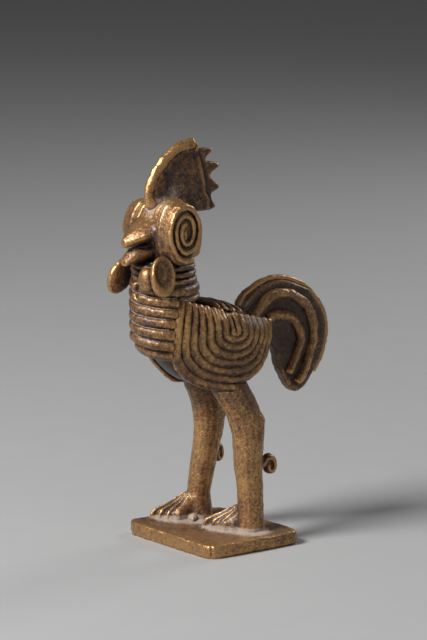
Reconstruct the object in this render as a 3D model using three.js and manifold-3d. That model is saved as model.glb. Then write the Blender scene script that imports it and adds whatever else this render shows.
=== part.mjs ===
// Rooster figurine, lost-wax cast brass. Millimetres, +Z up.
// The bird faces -Y and its left side is +X. The origin is the middle of the base plate's underside.
// The founder laid the wax model together from rods, sheets and threads, and each of them is a solid here.
import * as THREE from "three";
import { mergeVertices } from "three/addons/utils/BufferGeometryUtils.js";
import Module from "manifold-3d";

// Gaps between pieces
const clearance = 0.3;
const coilGap = 0.68;

// Base plate
const plateWidth = 51.7;
const plateDepth = 41.1;
const plateThickness = 5.5;
const plateEdge = 1.1;
const cornerFrontLeft = 1.8;
const cornerFrontRight = 2.6;
const cornerBackLeft = 2.4;
const cornerBackRight = 10;

// Column of the neck and breast, a stack of circles that rounds in below
const neckRadius = 9.4;
const neckTop = 107.1;
const neckY = -23;
const breastRadius = 10.9;
const breastTop = 88;
const breastY = -21.6;
const breastTurn = 82;
const breastBottom = 70;
const breastBack = 3.4;

// Egg of the body: squarer over the back than below
const eggLength = 47;
const eggHeight = 30.5;
const eggWidth = 25;
const eggY = -3.2;
const eggZ = 73.3;
const eggFall = 0.14;
const eggTopPower = 3.4;
const eggBottomPower = 2.2;

// Threads round the neck and the breast
const breastThreadCount = 7;
const breastThreadPitch = 3.8;
const breastThreadTop = 97.4;
const breastThreadHeight = 2.4;
const breastThreadReach = 76;
const neckThreadCount = 3;
const neckThreadPitch = 2.3;
const neckThreadHeight = 2.1;
const napeThreadReach = 96;
const threadGap = 0.4;
const threadRoll = 0.12;
const threadRollStep = 0.02;
const throatPitRadius = 2.6;

// Wings
const wingThreadCount = 7;
const wingCrest = 17.6;
const wingY = -1.4;
const wingZ = 80.5;
const wingTopFront = 93.4;
const wingTopRear = 81.4;
const wingFrontPitch = 3.03;
const wingRearPitch = 3.2;
const wingDropPitch = 3.12;
const wingFirstFront = 5.4;
const wingFirstRear = 3.4;
const wingFirstDrop = 2.8;
const wingThreadHeight = 1.8;
const wingThreadGap = 0.35;
const wingPanelMiddle = 6;
const wingPanelEdge = 2.4;
const wingCurlFront = 0.0076;
const wingCurlRear = 0.0135;
const wingCurlUnder = 0.0045;
const wingTuckFront = 0.021;
const wingTuckRear = 0.004;
const wingRearSquare = 0.8;
const wingLean = 2.6;
const wingPinch = 0.22;
const wingShoulder = 7;
const wingShoulderFall = 3.4;

// Threads across the back
const backThreadCount = 4;
const backThreadPitch = 3.2;
const backThreadFirst = -5.2;
const backThreadHeight = 1.5;
const backThreadReach = 66;

// Tail
const tailThickness = 4.6;
const tailEdge = 0.7;
const tailRimThickness = 1.5;
const tailRimWidth = 2.8;
const tailRibHeight = 2.2;
const tailRibWidth = 3.6;

// Legs and feet
const leftLeg = {
  ankle: [14.3, 6.4],
  hock: [11.5, 6.4, 45],
  thigh: [8.4, 0, 60],
  girth: 1,
  toeTurn: -50,
  toeLength: 18,
  toeStep: 3.4,
  spurTurn: 3,
};
const rightLeg = {
  ankle: [-14.5, 4.3],
  hock: [-11.5, 7.2, 44.4],
  thigh: [-8.4, 0.8, 60],
  girth: 0.94,
  toeTurn: -26,
  toeLength: 18.4,
  toeStep: 2.2,
  spurTurn: -19,
};
const ankleRadius = 4.7;
const shankRadius = 5.6;
const thighRadius = 8;
const toeCount = 4;
const toeRadius = 1.75;
const toeFan = 9;
const instep = 9.6;
const footHeight = 7.6;

// Spurs
const spurLevel = 4;
const spurUpright = 5.4;
const spurThickness = 2.6;
const spurCentre = 0.55;
const spurZ = 27.6;
const spurTurns = 1.15;

// Head
const headRadiusX = 8.8;
const headRadiusY = 10.1;
const headPower = 3.2;
const headY = -20.4;
const headHeight = 20.5;
const headTop = neckTop + headHeight;
const eyeWidth = 14.2;
const eyeHeight = 22.6;
const eyeY = -23.4;
const eyeZ = neckTop + 10.5;
const eyeDrop = 1.3;
const eyeFace = 14.7;
const eyeCoilHeight = 1.5;
const eyeTurns = 2.55;
const eyeCentre = 1.3;
const earThread = 1.15;

// Beak
const beakRoot = -28;
const beakTip = -40.2;
const beakHalfWidth = 8.4;
const beakTop = headTop - 3.6;
const beakFall = 8.2;
const mouthZ = neckTop + 7.6;
const beakHook = 2.1;
const jawHalfWidth = 5.4;
const jawTop = mouthZ - 0.7;
const jawBottom = neckTop - 1.2;
const jawFall = 5.9;
const jawRise = 2.4;

// Wattles and throat lobe
const wattleX = 11.9;
const wattleThickness = 2.6;
const wattleY = -31.6;
const wattleZ = neckTop - 4.3;
const wattleHalfWidth = 5.3;
const wattleHalfHeight = 7.2;
const wattleFlare = 11;
const leftWattle = { drop: 0, forward: 0, lean: 4, room: 0 };
const rightWattle = { drop: 2.4, forward: 0.9, lean: 30, room: eyeDrop };
const lobeX = 6.2;
const lobeZ = neckTop - 5.7;
const lobeHalfWidth = 3.3;
const lobeHalfHeight = 4.2;
const lobeDepth = 2.4;

// Comb
const combThickness = 2.2;
const combEdge = 0.5;
const combBottom = headTop - 4.4;
const combHeight = 24.9;
const ridgeFoot = 1.25;
const ridgeHead = 1.9;

// Counts of facets
const columnSides = 24;
const threadSteps = 18;
const limbSides = 16;

const wasm = await Module();
wasm.setup();

const brass = { polished: 0xb08d52, worn: 0x9a7443, dark: 0x6e5436 };

function finish(color) {
  return new THREE.MeshStandardMaterial({ color, roughness: 0.42, metalness: 0.9 });
}

// Closed bodies from rings of points

function signedVolume(points, faces) {
  let volume = 0;
  for (const [a, b, c] of faces) {
    volume += points[a].dot(new THREE.Vector3().crossVectors(points[b], points[c]));
  }
  return volume / 6;
}

function geometryFrom(points, faces) {
  const outward = signedVolume(points, faces) > 0;
  const geometry = new THREE.BufferGeometry();
  geometry.setFromPoints(points);
  geometry.setIndex(faces.flatMap(([a, b, c]) => (outward ? [a, b, c] : [a, c, b])));
  return geometry;
}

// Skins a row of rings that have equal numbers of points; a closed row joins its last ring to its first.
function skin(rings, closed = false) {
  const sides = rings[0].length;
  const points = rings.flat();
  const faces = [];
  const spans = closed ? rings.length : rings.length - 1;
  for (let i = 0; i < spans; i++) {
    const here = i * sides;
    const next = ((i + 1) % rings.length) * sides;
    for (let j = 0; j < sides; j++) {
      const k = (j + 1) % sides;
      faces.push([here + j, here + k, next + k], [here + j, next + k, next + j]);
    }
  }
  if (!closed) {
    const last = (rings.length - 1) * sides;
    for (const [start, flip] of [[0, true], [last, false]]) {
      const middle = points.length;
      const ring = points.slice(start, start + sides);
      points.push(ring.reduce((sum, p) => sum.add(p), new THREE.Vector3()).divideScalar(sides));
      for (let j = 0; j < sides; j++) {
        const k = (j + 1) % sides;
        faces.push(flip ? [start + k, start + j, middle] : [start + j, start + k, middle]);
      }
    }
  }
  return geometryFrom(points, faces);
}

// One coordinate of an oval; a power over 2 squares the oval up.
function ovalShare(wave, power) {
  return Math.sign(wave) * Math.abs(wave) ** (2 / power);
}

// An oval ring in a level plane.
function levelOval(x, y, z, radiusX, radiusY, sides, power = 2) {
  const ring = [];
  for (let j = 0; j < sides; j++) {
    const angle = (j / sides) * 2 * Math.PI;
    const px = ovalShare(Math.sin(angle), power) * radiusX;
    const py = ovalShare(Math.cos(angle), power) * radiusY;
    ring.push(new THREE.Vector3(x + px, y - py, z));
  }
  return ring;
}

// An oval ring in an upright plane that faces along Y.
function frontOval(y, zTop, zBottom, halfWidth, sides, power) {
  const middle = (zTop + zBottom) / 2;
  const flat = levelOval(0, 0, 0, halfWidth, (zTop - zBottom) / 2, sides, power);
  return flat.map((p) => new THREE.Vector3(p.x, y, middle - p.y));
}

// An oval ring in an upright plane that faces along X.
function sideOval(x, y, z, halfWidth, halfHeight, sides) {
  const flat = levelOval(0, 0, 0, halfWidth, halfHeight, sides);
  return flat.map((p) => new THREE.Vector3(x, y + p.x, z + p.y));
}

function circleTube(path, radiusAt, sides, steps) {
  const rings = [];
  const side = new THREE.Vector3(1, 0, 0);
  for (let i = 0; i <= steps; i++) {
    const t = i / steps;
    const centre = path.getPoint(t);
    const tangent = path.getTangent(t);
    const out = new THREE.Vector3().crossVectors(side, tangent).normalize();
    const across = new THREE.Vector3().crossVectors(tangent, out).normalize();
    const ring = [];
    for (let j = 0; j < sides; j++) {
      const angle = (j / sides) * 2 * Math.PI;
      const p = centre.clone();
      p.addScaledVector(out, Math.cos(angle) * radiusAt(t));
      p.addScaledVector(across, Math.sin(angle) * radiusAt(t));
      ring.push(p);
    }
    rings.push(ring);
  }
  return skin(rings);
}

// Joins and cuts

function stripped(geometry) {
  geometry.deleteAttribute("normal");
  geometry.deleteAttribute("uv");
  return geometry;
}

function toSolid(geometry) {
  const merged = mergeVertices(stripped(geometry.clone()), 1e-4);
  const vertProperties = new Float32Array(merged.attributes.position.array);
  const triVerts = new Uint32Array(merged.index.array);
  return new wasm.Manifold(new wasm.Mesh({ numProp: 3, vertProperties, triVerts }));
}

function fromSolid(solid) {
  const mesh = solid.getMesh();
  const geometry = new THREE.BufferGeometry();
  geometry.setAttribute("position", new THREE.BufferAttribute(new Float32Array(mesh.vertProperties), 3));
  geometry.setIndex(new THREE.BufferAttribute(new Uint32Array(mesh.triVerts), 1));
  return geometry;
}

// Cuts the tools away and keeps the biggest body that is left.
function cut(geometry, ...tools) {
  const left = tools.reduce((solid, tool) => solid.subtract(toSolid(tool)), toSolid(geometry));
  const bodies = left.decompose();
  bodies.sort((a, b) => b.volume() - a.volume());
  return fromSolid(bodies[0]);
}

function join(...geometries) {
  const [first, ...rest] = geometries.map(toSolid);
  return fromSolid(rest.reduce((solid, other) => solid.add(other), first));
}

function mirrored(geometry) {
  const copy = geometry.clone();
  copy.scale(-1, 1, 1);
  const index = copy.index.array;
  for (let i = 0; i < index.length; i += 3) {
    const held = index[i + 1];
    index[i + 1] = index[i + 2];
    index[i + 2] = held;
  }
  return copy;
}

// Base plate

function basePlate() {
  const x = plateWidth / 2 - plateEdge;
  const y = plateDepth / 2 - plateEdge;
  const shape = new THREE.Shape();
  const corner = (cx, cy, full, from) => {
    const r = full - Math.min(plateEdge, full / 2);
    shape.absarc(cx - Math.sign(cx) * r, cy - Math.sign(cy) * r, r, from, from + Math.PI / 2);
  };
  corner(x, -y, cornerFrontLeft, -Math.PI / 2);
  corner(x, y, cornerBackLeft, 0);
  corner(-x, y, cornerBackRight, Math.PI / 2);
  corner(-x, -y, cornerFrontRight, Math.PI);
  const plate = new THREE.ExtrudeGeometry(shape, {
    depth: plateThickness - 2 * plateEdge,
    bevelThickness: plateEdge,
    bevelSize: plateEdge,
    bevelSegments: 2,
    curveSegments: 4,
  });
  plate.translate(0, 0, plateEdge);
  return mergeVertices(stripped(plate), 1e-4);
}

// Body

function smooth(t) {
  const s = THREE.MathUtils.clamp(t, 0, 1);
  return s * s * (3 - 2 * s);
}

// Centre and radius of the column at a height: the neck widens to the breast, which rounds in below.
function columnAt(z) {
  const toNeck = smooth((z - breastTop) / (neckTop - breastTop));
  const under = THREE.MathUtils.clamp((breastTurn - z) / (breastTurn - breastBottom), 0, 1);
  const full = THREE.MathUtils.lerp(breastRadius, neckRadius, toNeck);
  return {
    radius: full * Math.sqrt(1 - 0.97 * under ** 2),
    y: THREE.MathUtils.lerp(breastY, neckY, toNeck) + breastBack * under ** 2,
  };
}

// A point on the column, moved out square to its side.
function columnPoint(z, angle, offset) {
  const { radius, y } = columnAt(z);
  const slope = (columnAt(z + 0.05).radius - columnAt(z - 0.05).radius) / 0.1;
  const square = 1 / Math.hypot(1, slope);
  const r = radius + offset * square;
  return new THREE.Vector3(Math.sin(angle) * r, y - Math.cos(angle) * r, z - offset * slope * square);
}

function column(offset = 0, top = neckTop + offset) {
  const rings = [];
  const steps = 12;
  for (let i = 0; i <= steps; i++) {
    const z = THREE.MathUtils.lerp(breastBottom + 0.1, Math.min(top, neckTop), (i / steps) ** 1.5);
    const ring = [];
    for (let j = 0; j < columnSides; j++) {
      ring.push(columnPoint(z, (j / columnSides) * 2 * Math.PI, offset));
    }
    rings.push(ring);
  }
  if (top > neckTop) {
    rings.push(rings[steps].map((p) => new THREE.Vector3(p.x, p.y, top)));
  }
  return skin(rings);
}

// A point on the egg: the angle goes round from the top.
function eggPoint(y, angle, offset) {
  const along = THREE.MathUtils.clamp((y - eggY) / (eggLength / 2 + offset), -1, 1);
  const share = Math.sqrt(1 - along * along);
  const power = Math.cos(angle) > 0 ? eggTopPower : eggBottomPower;
  const x = ovalShare(Math.sin(angle), power) * (eggWidth / 2 + offset) * share;
  const z = ovalShare(Math.cos(angle), power) * (eggHeight / 2 + offset) * share;
  return new THREE.Vector3(x, y, eggZ - eggFall * (y - eggY) + z);
}

function egg(offset = 0) {
  const rings = [];
  const steps = 12;
  for (let i = 0; i <= steps; i++) {
    const turn = THREE.MathUtils.lerp(0.12, Math.PI - 0.12, i / steps);
    const y = eggY - Math.cos(turn) * (eggLength / 2 + offset);
    const ring = [];
    for (let j = 0; j < columnSides; j++) {
      ring.push(eggPoint(y, (j / columnSides) * 2 * Math.PI, offset));
    }
    rings.push(ring);
  }
  return skin(rings);
}

const bodyBare = join(column(), egg());
const columnKeepOut = column(clearance);
const eggKeepOut = egg(clearance);

// Wings

function wingTopAt(y) {
  const front = wingY - wingFirstFront - wingFrontPitch * (wingThreadCount - 1);
  const rear = wingY + wingFirstRear + wingRearPitch * (wingThreadCount - 2);
  return THREE.MathUtils.lerp(wingTopFront, wingTopRear, THREE.MathUtils.clamp((y - front) / (rear - front), 0, 1));
}

// Depth of the wing's crest at a place: it curls in to the front, the rear, the underside and the top edge.
function wingDome(y, z) {
  const along = y - wingY;
  const below = Math.max(0, wingZ - z);
  const ends = (along < 0 ? wingCurlFront : wingCurlRear) * along * along;
  const tuck = (along < 0 ? wingTuckFront : wingTuckRear) * Math.abs(along) * below;
  const nearTop = Math.max(0, z - wingTopAt(y) + wingShoulder) / wingShoulder;
  const middle = Math.max(0, 1 - (along / 26) ** 2);
  return wingCrest - ends - tuck - wingCurlUnder * below * below - wingShoulderFall * nearTop * nearTop * middle;
}

// How far up the front of the wing a place is: 0 at its middle, 1 at its top edge.
function wingRise(y, z) {
  return y < wingY ? THREE.MathUtils.clamp((z - wingZ) / (wingTopFront - wingZ), 0, 1) : 0;
}

// Points of one U: down the front, which leans back at the top, round under the middle and up the rear.
function wingArc(front, rear, drop, share, steps) {
  const points = [];
  const y0 = wingY - front;
  const run = Math.max(2, Math.round((wingTopAt(y0) - wingZ) / 3));
  const lean = wingLean * (front / (wingFirstFront + wingFrontPitch * (wingThreadCount - 1))) ** 2;
  for (let i = 0; i < run; i++) {
    const z = THREE.MathUtils.lerp(wingTopAt(y0), wingZ, i / run);
    points.push([y0 + lean * wingRise(y0, z) ** 2, z]);
  }
  for (let i = 0; i <= steps * share; i++) {
    const angle = Math.PI - (i / steps) * Math.PI;
    const c = Math.cos(angle);
    const square = c < 0 ? 1 : wingRearSquare;
    const y = wingY + (c < 0 ? front : rear) * Math.sign(c) * Math.abs(c) ** square;
    points.push([y, wingZ - drop * Math.abs(Math.sin(angle)) ** square]);
  }
  return points;
}

const wingThreadHalf = (Math.min(wingFrontPitch, wingRearPitch, wingDropPitch) - wingThreadGap) / 2;

// The outermost thread ends in a lip under the middle; the others go up the rear to the top edge.
function wingLine(index) {
  const front = wingFirstFront + wingFrontPitch * index;
  const rear = wingFirstRear + wingRearPitch * index;
  const drop = wingFirstDrop + wingDropPitch * index;
  const outermost = index === wingThreadCount - 1;
  const points = wingArc(front, rear, drop, outermost ? 0.53 : 1, 10 + index);
  if (!outermost) {
    const top = wingTopAt(wingY + rear);
    points.push([wingY + rear, (top + wingZ) / 2], [wingY + rear, top]);
  }
  return points;
}

// A thread of the wing, or with an offset the room that it takes up.
function wingThreadSkin(index, offset = 0) {
  const line = wingLine(index);
  const profile = [[-1, 0], [-0.85, 0.6], [0, 1], [0.85, 0.6], [1, 0]];
  const rings = line.map(([y, z], i) => {
    const [y0, z0] = line[Math.max(0, i - 1)];
    const [y1, z1] = line[Math.min(line.length - 1, i + 1)];
    const along = new THREE.Vector2(y1 - y0, z1 - z0).normalize();
    const half = wingThreadHalf * (1 - wingPinch * wingRise(y, z) ** 2) + offset;
    return profile.map(([across, up]) => {
      const py = y + across * half * along.y;
      const pz = z - across * half * along.x;
      const depth = wingThreadHeight * (up - 1) + offset * (2 * up - 1);
      return new THREE.Vector3(wingDome(py, pz) + depth, py, pz);
    });
  });
  return skin(rings);
}

function wingThread(index) {
  return cut(wingThreadSkin(index), eggKeepOut, columnKeepOut);
}

// The outline that holds the threads, grown or shrunk all round.
function wingOutline(grow, threads) {
  const outer = threads - 1;
  const front = wingFirstFront + wingFrontPitch * (wingThreadCount - 1) + wingThreadHalf + grow;
  const rear = wingFirstRear + wingRearPitch * (wingThreadCount - 2) + wingThreadHalf + grow;
  const drop = wingFirstDrop + wingDropPitch * outer + wingThreadHalf + grow;
  const outline = wingArc(front, rear, drop, 1, 18).map(([y, z], i) => (i === 0 ? [y, z + 2 * grow] : [y, z]));
  const steps = 7;
  for (let i = 0; i < steps; i++) {
    const y = THREE.MathUtils.lerp(wingY + rear, wingY - front, i / steps);
    outline.push([y, wingTopAt(y) + 2 * grow]);
  }
  return outline;
}

// A curved sheet inside an outline; its faces are given as depths at a place and a share of the way out.
function shield(outline, facesAt) {
  const rounds = [0.3, 0.6, 0.85, 1];
  const points = [];
  const place = (y, z, share) => {
    const [outer, inner] = facesAt(y, z, share);
    points.push(new THREE.Vector3(outer, y, z), new THREE.Vector3(inner, y, z));
  };
  place(wingY, wingZ, 0);
  for (const share of rounds) {
    for (const [y, z] of outline) {
      place(THREE.MathUtils.lerp(wingY, y, share), THREE.MathUtils.lerp(wingZ, z, share), share);
    }
  }
  const count = outline.length;
  const at = (round, j, face) => (round < 0 ? face : 2 * (1 + round * count + (j % count)) + face);
  const rim = rounds.length - 1;
  const faces = [];
  for (let j = 0; j < count; j++) {
    for (const face of [0, 1]) {
      const turn = (a, b, c) => faces.push(face === 0 ? [a, b, c] : [a, c, b]);
      turn(at(-1, 0, face), at(0, j, face), at(0, j + 1, face));
      for (let round = 0; round < rim; round++) {
        turn(at(round, j, face), at(round + 1, j, face), at(round + 1, j + 1, face));
        turn(at(round, j, face), at(round + 1, j + 1, face), at(round, j + 1, face));
      }
    }
    faces.push([at(rim, j, 0), at(rim, j, 1), at(rim, j + 1, 1)]);
    faces.push([at(rim, j, 0), at(rim, j + 1, 1), at(rim, j + 1, 0)]);
  }
  return geometryFrom(points, faces);
}

function wingPanelFace(y, z) {
  return wingDome(y, z) - wingThreadHeight - 2.5 * clearance;
}

function wingPanelDepth(share) {
  return THREE.MathUtils.lerp(wingPanelMiddle, wingPanelEdge, share * share);
}

// The sheet that carries the threads, let in to the side of the egg.
function wingPanel() {
  const panel = shield(wingOutline(-2 * clearance, wingThreadCount - 1), (y, z, share) => {
    const face = wingPanelFace(y, z);
    return [face, face - wingPanelDepth(share)];
  });
  return cut(panel, eggKeepOut, columnKeepOut);
}

// What a wing takes up, with the gap round it.
function wingRoom(threads) {
  return shield(wingOutline(clearance, threads), (y, z, share) => [
    wingDome(y, z) + 2 * clearance,
    wingPanelFace(y, z) - wingPanelDepth(share) - clearance,
  ]);
}

const wingRoomLeft = wingRoom(wingThreadCount);
const wingRoomRight = mirrored(wingRoomLeft);
const wingOverLeg = [wingRoom(wingThreadCount - 1), wingThreadSkin(wingThreadCount - 1, 2 * clearance)];

// Threads round the neck and the breast: half round outside, following the column inside.
function columnThread(z0, height, width, middle, reach, roll) {
  const closed = reach >= 180;
  const steps = closed ? columnSides : threadSteps;
  const rings = [];
  for (let i = 0; i < (closed ? steps : steps + 1); i++) {
    const angle = THREE.MathUtils.degToRad(middle - reach + (2 * reach * i) / steps);
    const z = z0 - roll * columnPoint(z0, angle, 0).x;
    const profile = [[-1, 0], [-0.9, 0.5], [-0.45, 0.93], [0.45, 0.93], [0.9, 0.5], [1, 0]];
    rings.push(profile.map(([across, out]) => (
      columnPoint(z + across * (width / 2), angle, clearance + out * height))));
  }
  return skin(rings, closed);
}

// The highest thread of the breast goes all the way round; the others end at the wings.
function breastThread(index) {
  const reach = index === 0 ? 180 : breastThreadReach;
  const width = breastThreadPitch - threadGap;
  const z0 = breastThreadTop - index * breastThreadPitch;
  const thread = columnThread(z0, breastThreadHeight, width, 0, reach, threadRoll);
  const pit = index < 2 ? [throatPit()] : [];
  return cut(thread, eggKeepOut, wingRoomLeft, wingRoomRight, ...pit);
}

// The room that a thread of the breast takes up, with the gap round it.
function breastThreadRoom(index) {
  const width = breastThreadPitch - threadGap + 2 * clearance;
  const z0 = breastThreadTop - index * breastThreadPitch;
  const reach = breastThreadReach + 4;
  return columnThread(z0, breastThreadHeight + clearance, width, 0, reach, threadRoll);
}

const neckThreadFirst = breastThreadTop + (breastThreadPitch + neckThreadPitch) / 2;

function neckThread(index) {
  const z0 = neckThreadFirst + index * neckThreadPitch;
  const roll = threadRoll - threadRollStep * (index + 1);
  return columnThread(z0, neckThreadHeight, neckThreadPitch - threadGap - 0.1, 0, 180, roll);
}

function napeThread() {
  const z0 = breastThreadTop - (breastThreadPitch + neckThreadPitch) / 2;
  const width = neckThreadPitch - threadGap;
  const thread = columnThread(z0, neckThreadHeight, width, 180, napeThreadReach, threadRoll);
  return cut(thread, eggKeepOut, wingRoomLeft, wingRoomRight, breastThreadRoom(1));
}

// What the threads take up, with the gap round them.
const neckThreadsTop = neckThreadFirst + (neckThreadCount - 0.5) * neckThreadPitch + threadRoll * neckRadius / 2;
const neckRoom = column(2 * clearance + neckThreadHeight, neckThreadsTop);
const breastRoom = column(2 * clearance + breastThreadHeight, breastThreadTop + breastThreadPitch / 2 + 1.3);

// The small dark pit at the top of the breast, where the first two threads part.
function throatPit() {
  const pit = new THREE.SphereGeometry(throatPitRadius, 10, 8);
  pit.scale(0.8, 1, 1.3);
  const z = breastThreadTop - breastThreadPitch / 4;
  const { radius, y } = columnAt(z);
  pit.translate(0, y - radius - clearance - breastThreadHeight, z);
  return pit;
}

// Threads across the back

function backThread(index) {
  const y = backThreadFirst + index * backThreadPitch;
  const half = (backThreadPitch - threadGap - 0.1) / 2;
  const profile = [[-1, 0], [-0.8, 0.65], [0, 1], [0.8, 0.65], [1, 0]];
  const rings = [];
  const steps = 12;
  for (let i = 0; i <= steps; i++) {
    const angle = THREE.MathUtils.degToRad(THREE.MathUtils.lerp(-backThreadReach, backThreadReach, i / steps));
    rings.push(profile.map(([across, up]) => (
      eggPoint(y + across * half, angle, clearance + up * backThreadHeight))));
  }
  return cut(skin(rings), wingRoomLeft, wingRoomRight, breastRoom);
}

// Tail, drawn in the plane across X: points are along Y and up Z

const tailCurve = new THREE.SplineCurve([
  new THREE.Vector2(11, 84.5),
  new THREE.Vector2(15.5, 90),
  new THREE.Vector2(24, 93.5),
  new THREE.Vector2(33.2, 93.6),
  new THREE.Vector2(43.6, 88.5),
  new THREE.Vector2(50.6, 78.4),
  new THREE.Vector2(50.7, 68),
  new THREE.Vector2(45.4, 57.5),
  new THREE.Vector2(39, 51.6),
  new THREE.Vector2(34.5, 53),
  new THREE.Vector2(29.5, 61),
  new THREE.Vector2(26, 70.5),
  new THREE.Vector2(18, 71.5),
  new THREE.Vector2(10, 70),
]);
const outerRibCurve = new THREE.SplineCurve([
  new THREE.Vector2(15.7, 81.4),
  new THREE.Vector2(19.4, 85.2),
  new THREE.Vector2(24, 88.4),
  new THREE.Vector2(30, 89.4),
  new THREE.Vector2(37.5, 86.9),
  new THREE.Vector2(43.6, 79.8),
  new THREE.Vector2(44.8, 70),
  new THREE.Vector2(40.8, 60),
  new THREE.Vector2(37, 55),
]);
const innerRibCurve = new THREE.SplineCurve([
  new THREE.Vector2(23, 80.4),
  new THREE.Vector2(28, 81.4),
  new THREE.Vector2(35, 79.4),
  new THREE.Vector2(38.8, 73.5),
  new THREE.Vector2(37.5, 66.5),
  new THREE.Vector2(33.6, 59),
]);
const rimShare = 0.53;

// Stands a drawn sheet up in the plane across X.
function uprightSheet(shape, thickness, edge) {
  const sheet = new THREE.ExtrudeGeometry(shape, {
    depth: thickness - 2 * edge,
    bevelThickness: edge,
    bevelSize: edge,
    bevelOffset: -edge,
    bevelSegments: 1,
    curveSegments: 3,
  });
  sheet.translate(0, 0, edge - thickness / 2);
  const alongY = new THREE.Vector3(0, 1, 0);
  const alongZ = new THREE.Vector3(0, 0, 1);
  sheet.applyMatrix4(new THREE.Matrix4().makeBasis(alongY, alongZ, new THREE.Vector3(1, 0, 0)));
  return mergeVertices(stripped(sheet), 1e-4);
}

function tailPlate() {
  return cut(uprightSheet(new THREE.Shape(tailCurve.getPoints(40)), tailThickness, tailEdge), eggKeepOut);
}

function curveNormal(curve, t) {
  const tangent = curve.getTangent(t);
  return new THREE.Vector2(-tangent.y, tangent.x);
}

function tailRim() {
  const near = clearance + 0.05;
  const far = near + tailRimThickness;
  const profile = [[near, -0.5], [far, -0.35], [far, 0.35], [near, 0.5]];
  const rings = [];
  const steps = 28;
  for (let i = 0; i <= steps; i++) {
    const t = THREE.MathUtils.lerp(0.02, rimShare, i / steps);
    const p = tailCurve.getPoint(t);
    const out = curveNormal(tailCurve, t);
    rings.push(profile.map(([away, across]) => (
      new THREE.Vector3(across * tailRimWidth, p.x + out.x * away, p.y + out.y * away))));
  }
  return cut(skin(rings), eggKeepOut);
}

function tailRib(curve, steps) {
  const face = tailThickness / 2 + clearance;
  const profile = [[-1, 0], [-0.85, 0.6], [0, 1], [0.85, 0.6], [1, 0]];
  const rings = [];
  for (let i = 0; i <= steps; i++) {
    const t = i / steps;
    const p = curve.getPoint(t);
    const out = curveNormal(curve, t);
    const half = (tailRibWidth / 2) * (1 - 0.25 * t);
    rings.push(profile.map(([across, up]) => new THREE.Vector3(
      face + up * tailRibHeight,
      p.x + out.x * across * half,
      p.y + out.y * across * half,
    )));
  }
  return cut(skin(rings), eggKeepOut);
}

// Legs

const footFloor = plateThickness + clearance;
const footTop = footFloor + footHeight;

// The leg's line from the foot up, with its half widths across and along: shank, hock, and thigh.
const legLine = [
  [ankleRadius, ankleRadius],
  [shankRadius * 0.93, shankRadius * 0.95],
  [shankRadius + 0.2, shankRadius + 1.1],
  [thighRadius * 0.8, thighRadius],
  [thighRadius * 0.5, thighRadius * 0.85],
];
const legGirth = new THREE.SplineCurve(legLine.map(([across, along]) => new THREE.Vector2(across, along)));

function legRings(side, offset = 0) {
  const foot = new THREE.Vector3(...side.ankle, footTop + clearance - offset);
  const hock = new THREE.Vector3(...side.hock);
  const thigh = new THREE.Vector3(...side.thigh);
  const top = hock.clone().lerp(thigh, 1.35);
  const line = new THREE.CatmullRomCurve3([foot, foot.clone().lerp(hock, 0.55), hock, thigh, top]);
  const rings = [];
  const steps = 12;
  for (let i = 0; i <= steps; i++) {
    const p = line.getPoint(i / steps);
    const girth = legGirth.getPoint(i / steps);
    rings.push(levelOval(p.x, p.y, p.z, girth.x * side.girth + offset, girth.y * side.girth + offset, limbSides));
  }
  return rings;
}

function leg(side, wingRoom) {
  return cut(skin(legRings(side)), eggKeepOut, columnKeepOut, ...wingRoom);
}

// One toe: a ridge that runs out from the ankle and falls to its tip.
function toe(side, index) {
  const turn = THREE.MathUtils.degToRad(side.toeTurn + toeFan * index);
  const length = side.toeLength - side.toeStep * index;
  const direction = new THREE.Vector2(Math.sin(turn), -Math.cos(turn));
  const across = new THREE.Vector2(direction.y, -direction.x);
  const stations = [[0, 1.25, 1], [0.34, 1.15, 0.92], [0.6, 1.05, 0.62], [0.92, 0.9, 0.33], [1, 0.5, 0.14]];
  return skin(stations.map(([share, wide, tall]) => {
    const x = side.ankle[0] + direction.x * length * share;
    const y = side.ankle[1] + direction.y * length * share;
    const ring = [];
    for (let j = 0; j <= 4; j++) {
      const round = (j / 4) * Math.PI;
      const away = Math.cos(round) * toeRadius * wide;
      ring.push(new THREE.Vector3(x + across.x * away, y + across.y * away, footFloor + Math.sin(round) * instep * tall));
    }
    return ring;
  }));
}

function foot(side) {
  const [x, y] = side.ankle;
  const heel = skin([
    levelOval(x, y, footFloor, ankleRadius * 1.16, ankleRadius * 1.16, limbSides),
    levelOval(x, y, footFloor + footHeight * 0.4, ankleRadius * 1.08, ankleRadius * 1.08, limbSides),
    levelOval(x, y, footTop, ankleRadius, ankleRadius, limbSides),
  ]);
  const toes = [];
  for (let i = 0; i < toeCount; i++) {
    toes.push(toe(side, i));
  }
  return cut(join(heel, ...toes), skin(legRings(side, clearance)));
}

// Spiral threads: unbroken tubes, whose turns keep a gap that is measured and printed.

// The pitch is what the thread moves out by in one turn, level and upright; the line starts near the middle.
function spiralSection(angle, coil) {
  const turns = (angle - coil.startAngle) / (2 * Math.PI);
  const level = coil.startLevel + coil.pitchLevel * turns;
  const upright = coil.startUpright + coil.pitchUpright * turns;
  const centre = new THREE.Vector2(Math.cos(angle) * level, Math.sin(angle) * upright);
  const tangent = new THREE.Vector2(-Math.sin(angle) * level, Math.cos(angle) * upright).normalize();
  const normal = new THREE.Vector2(tangent.y, -tangent.x);
  const step = new THREE.Vector2(Math.cos(angle) * coil.pitchLevel, Math.sin(angle) * coil.pitchUpright);
  const half = (Math.abs(step.dot(normal)) - coilGap) / 2;
  return { centre, normal, half };
}

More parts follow.
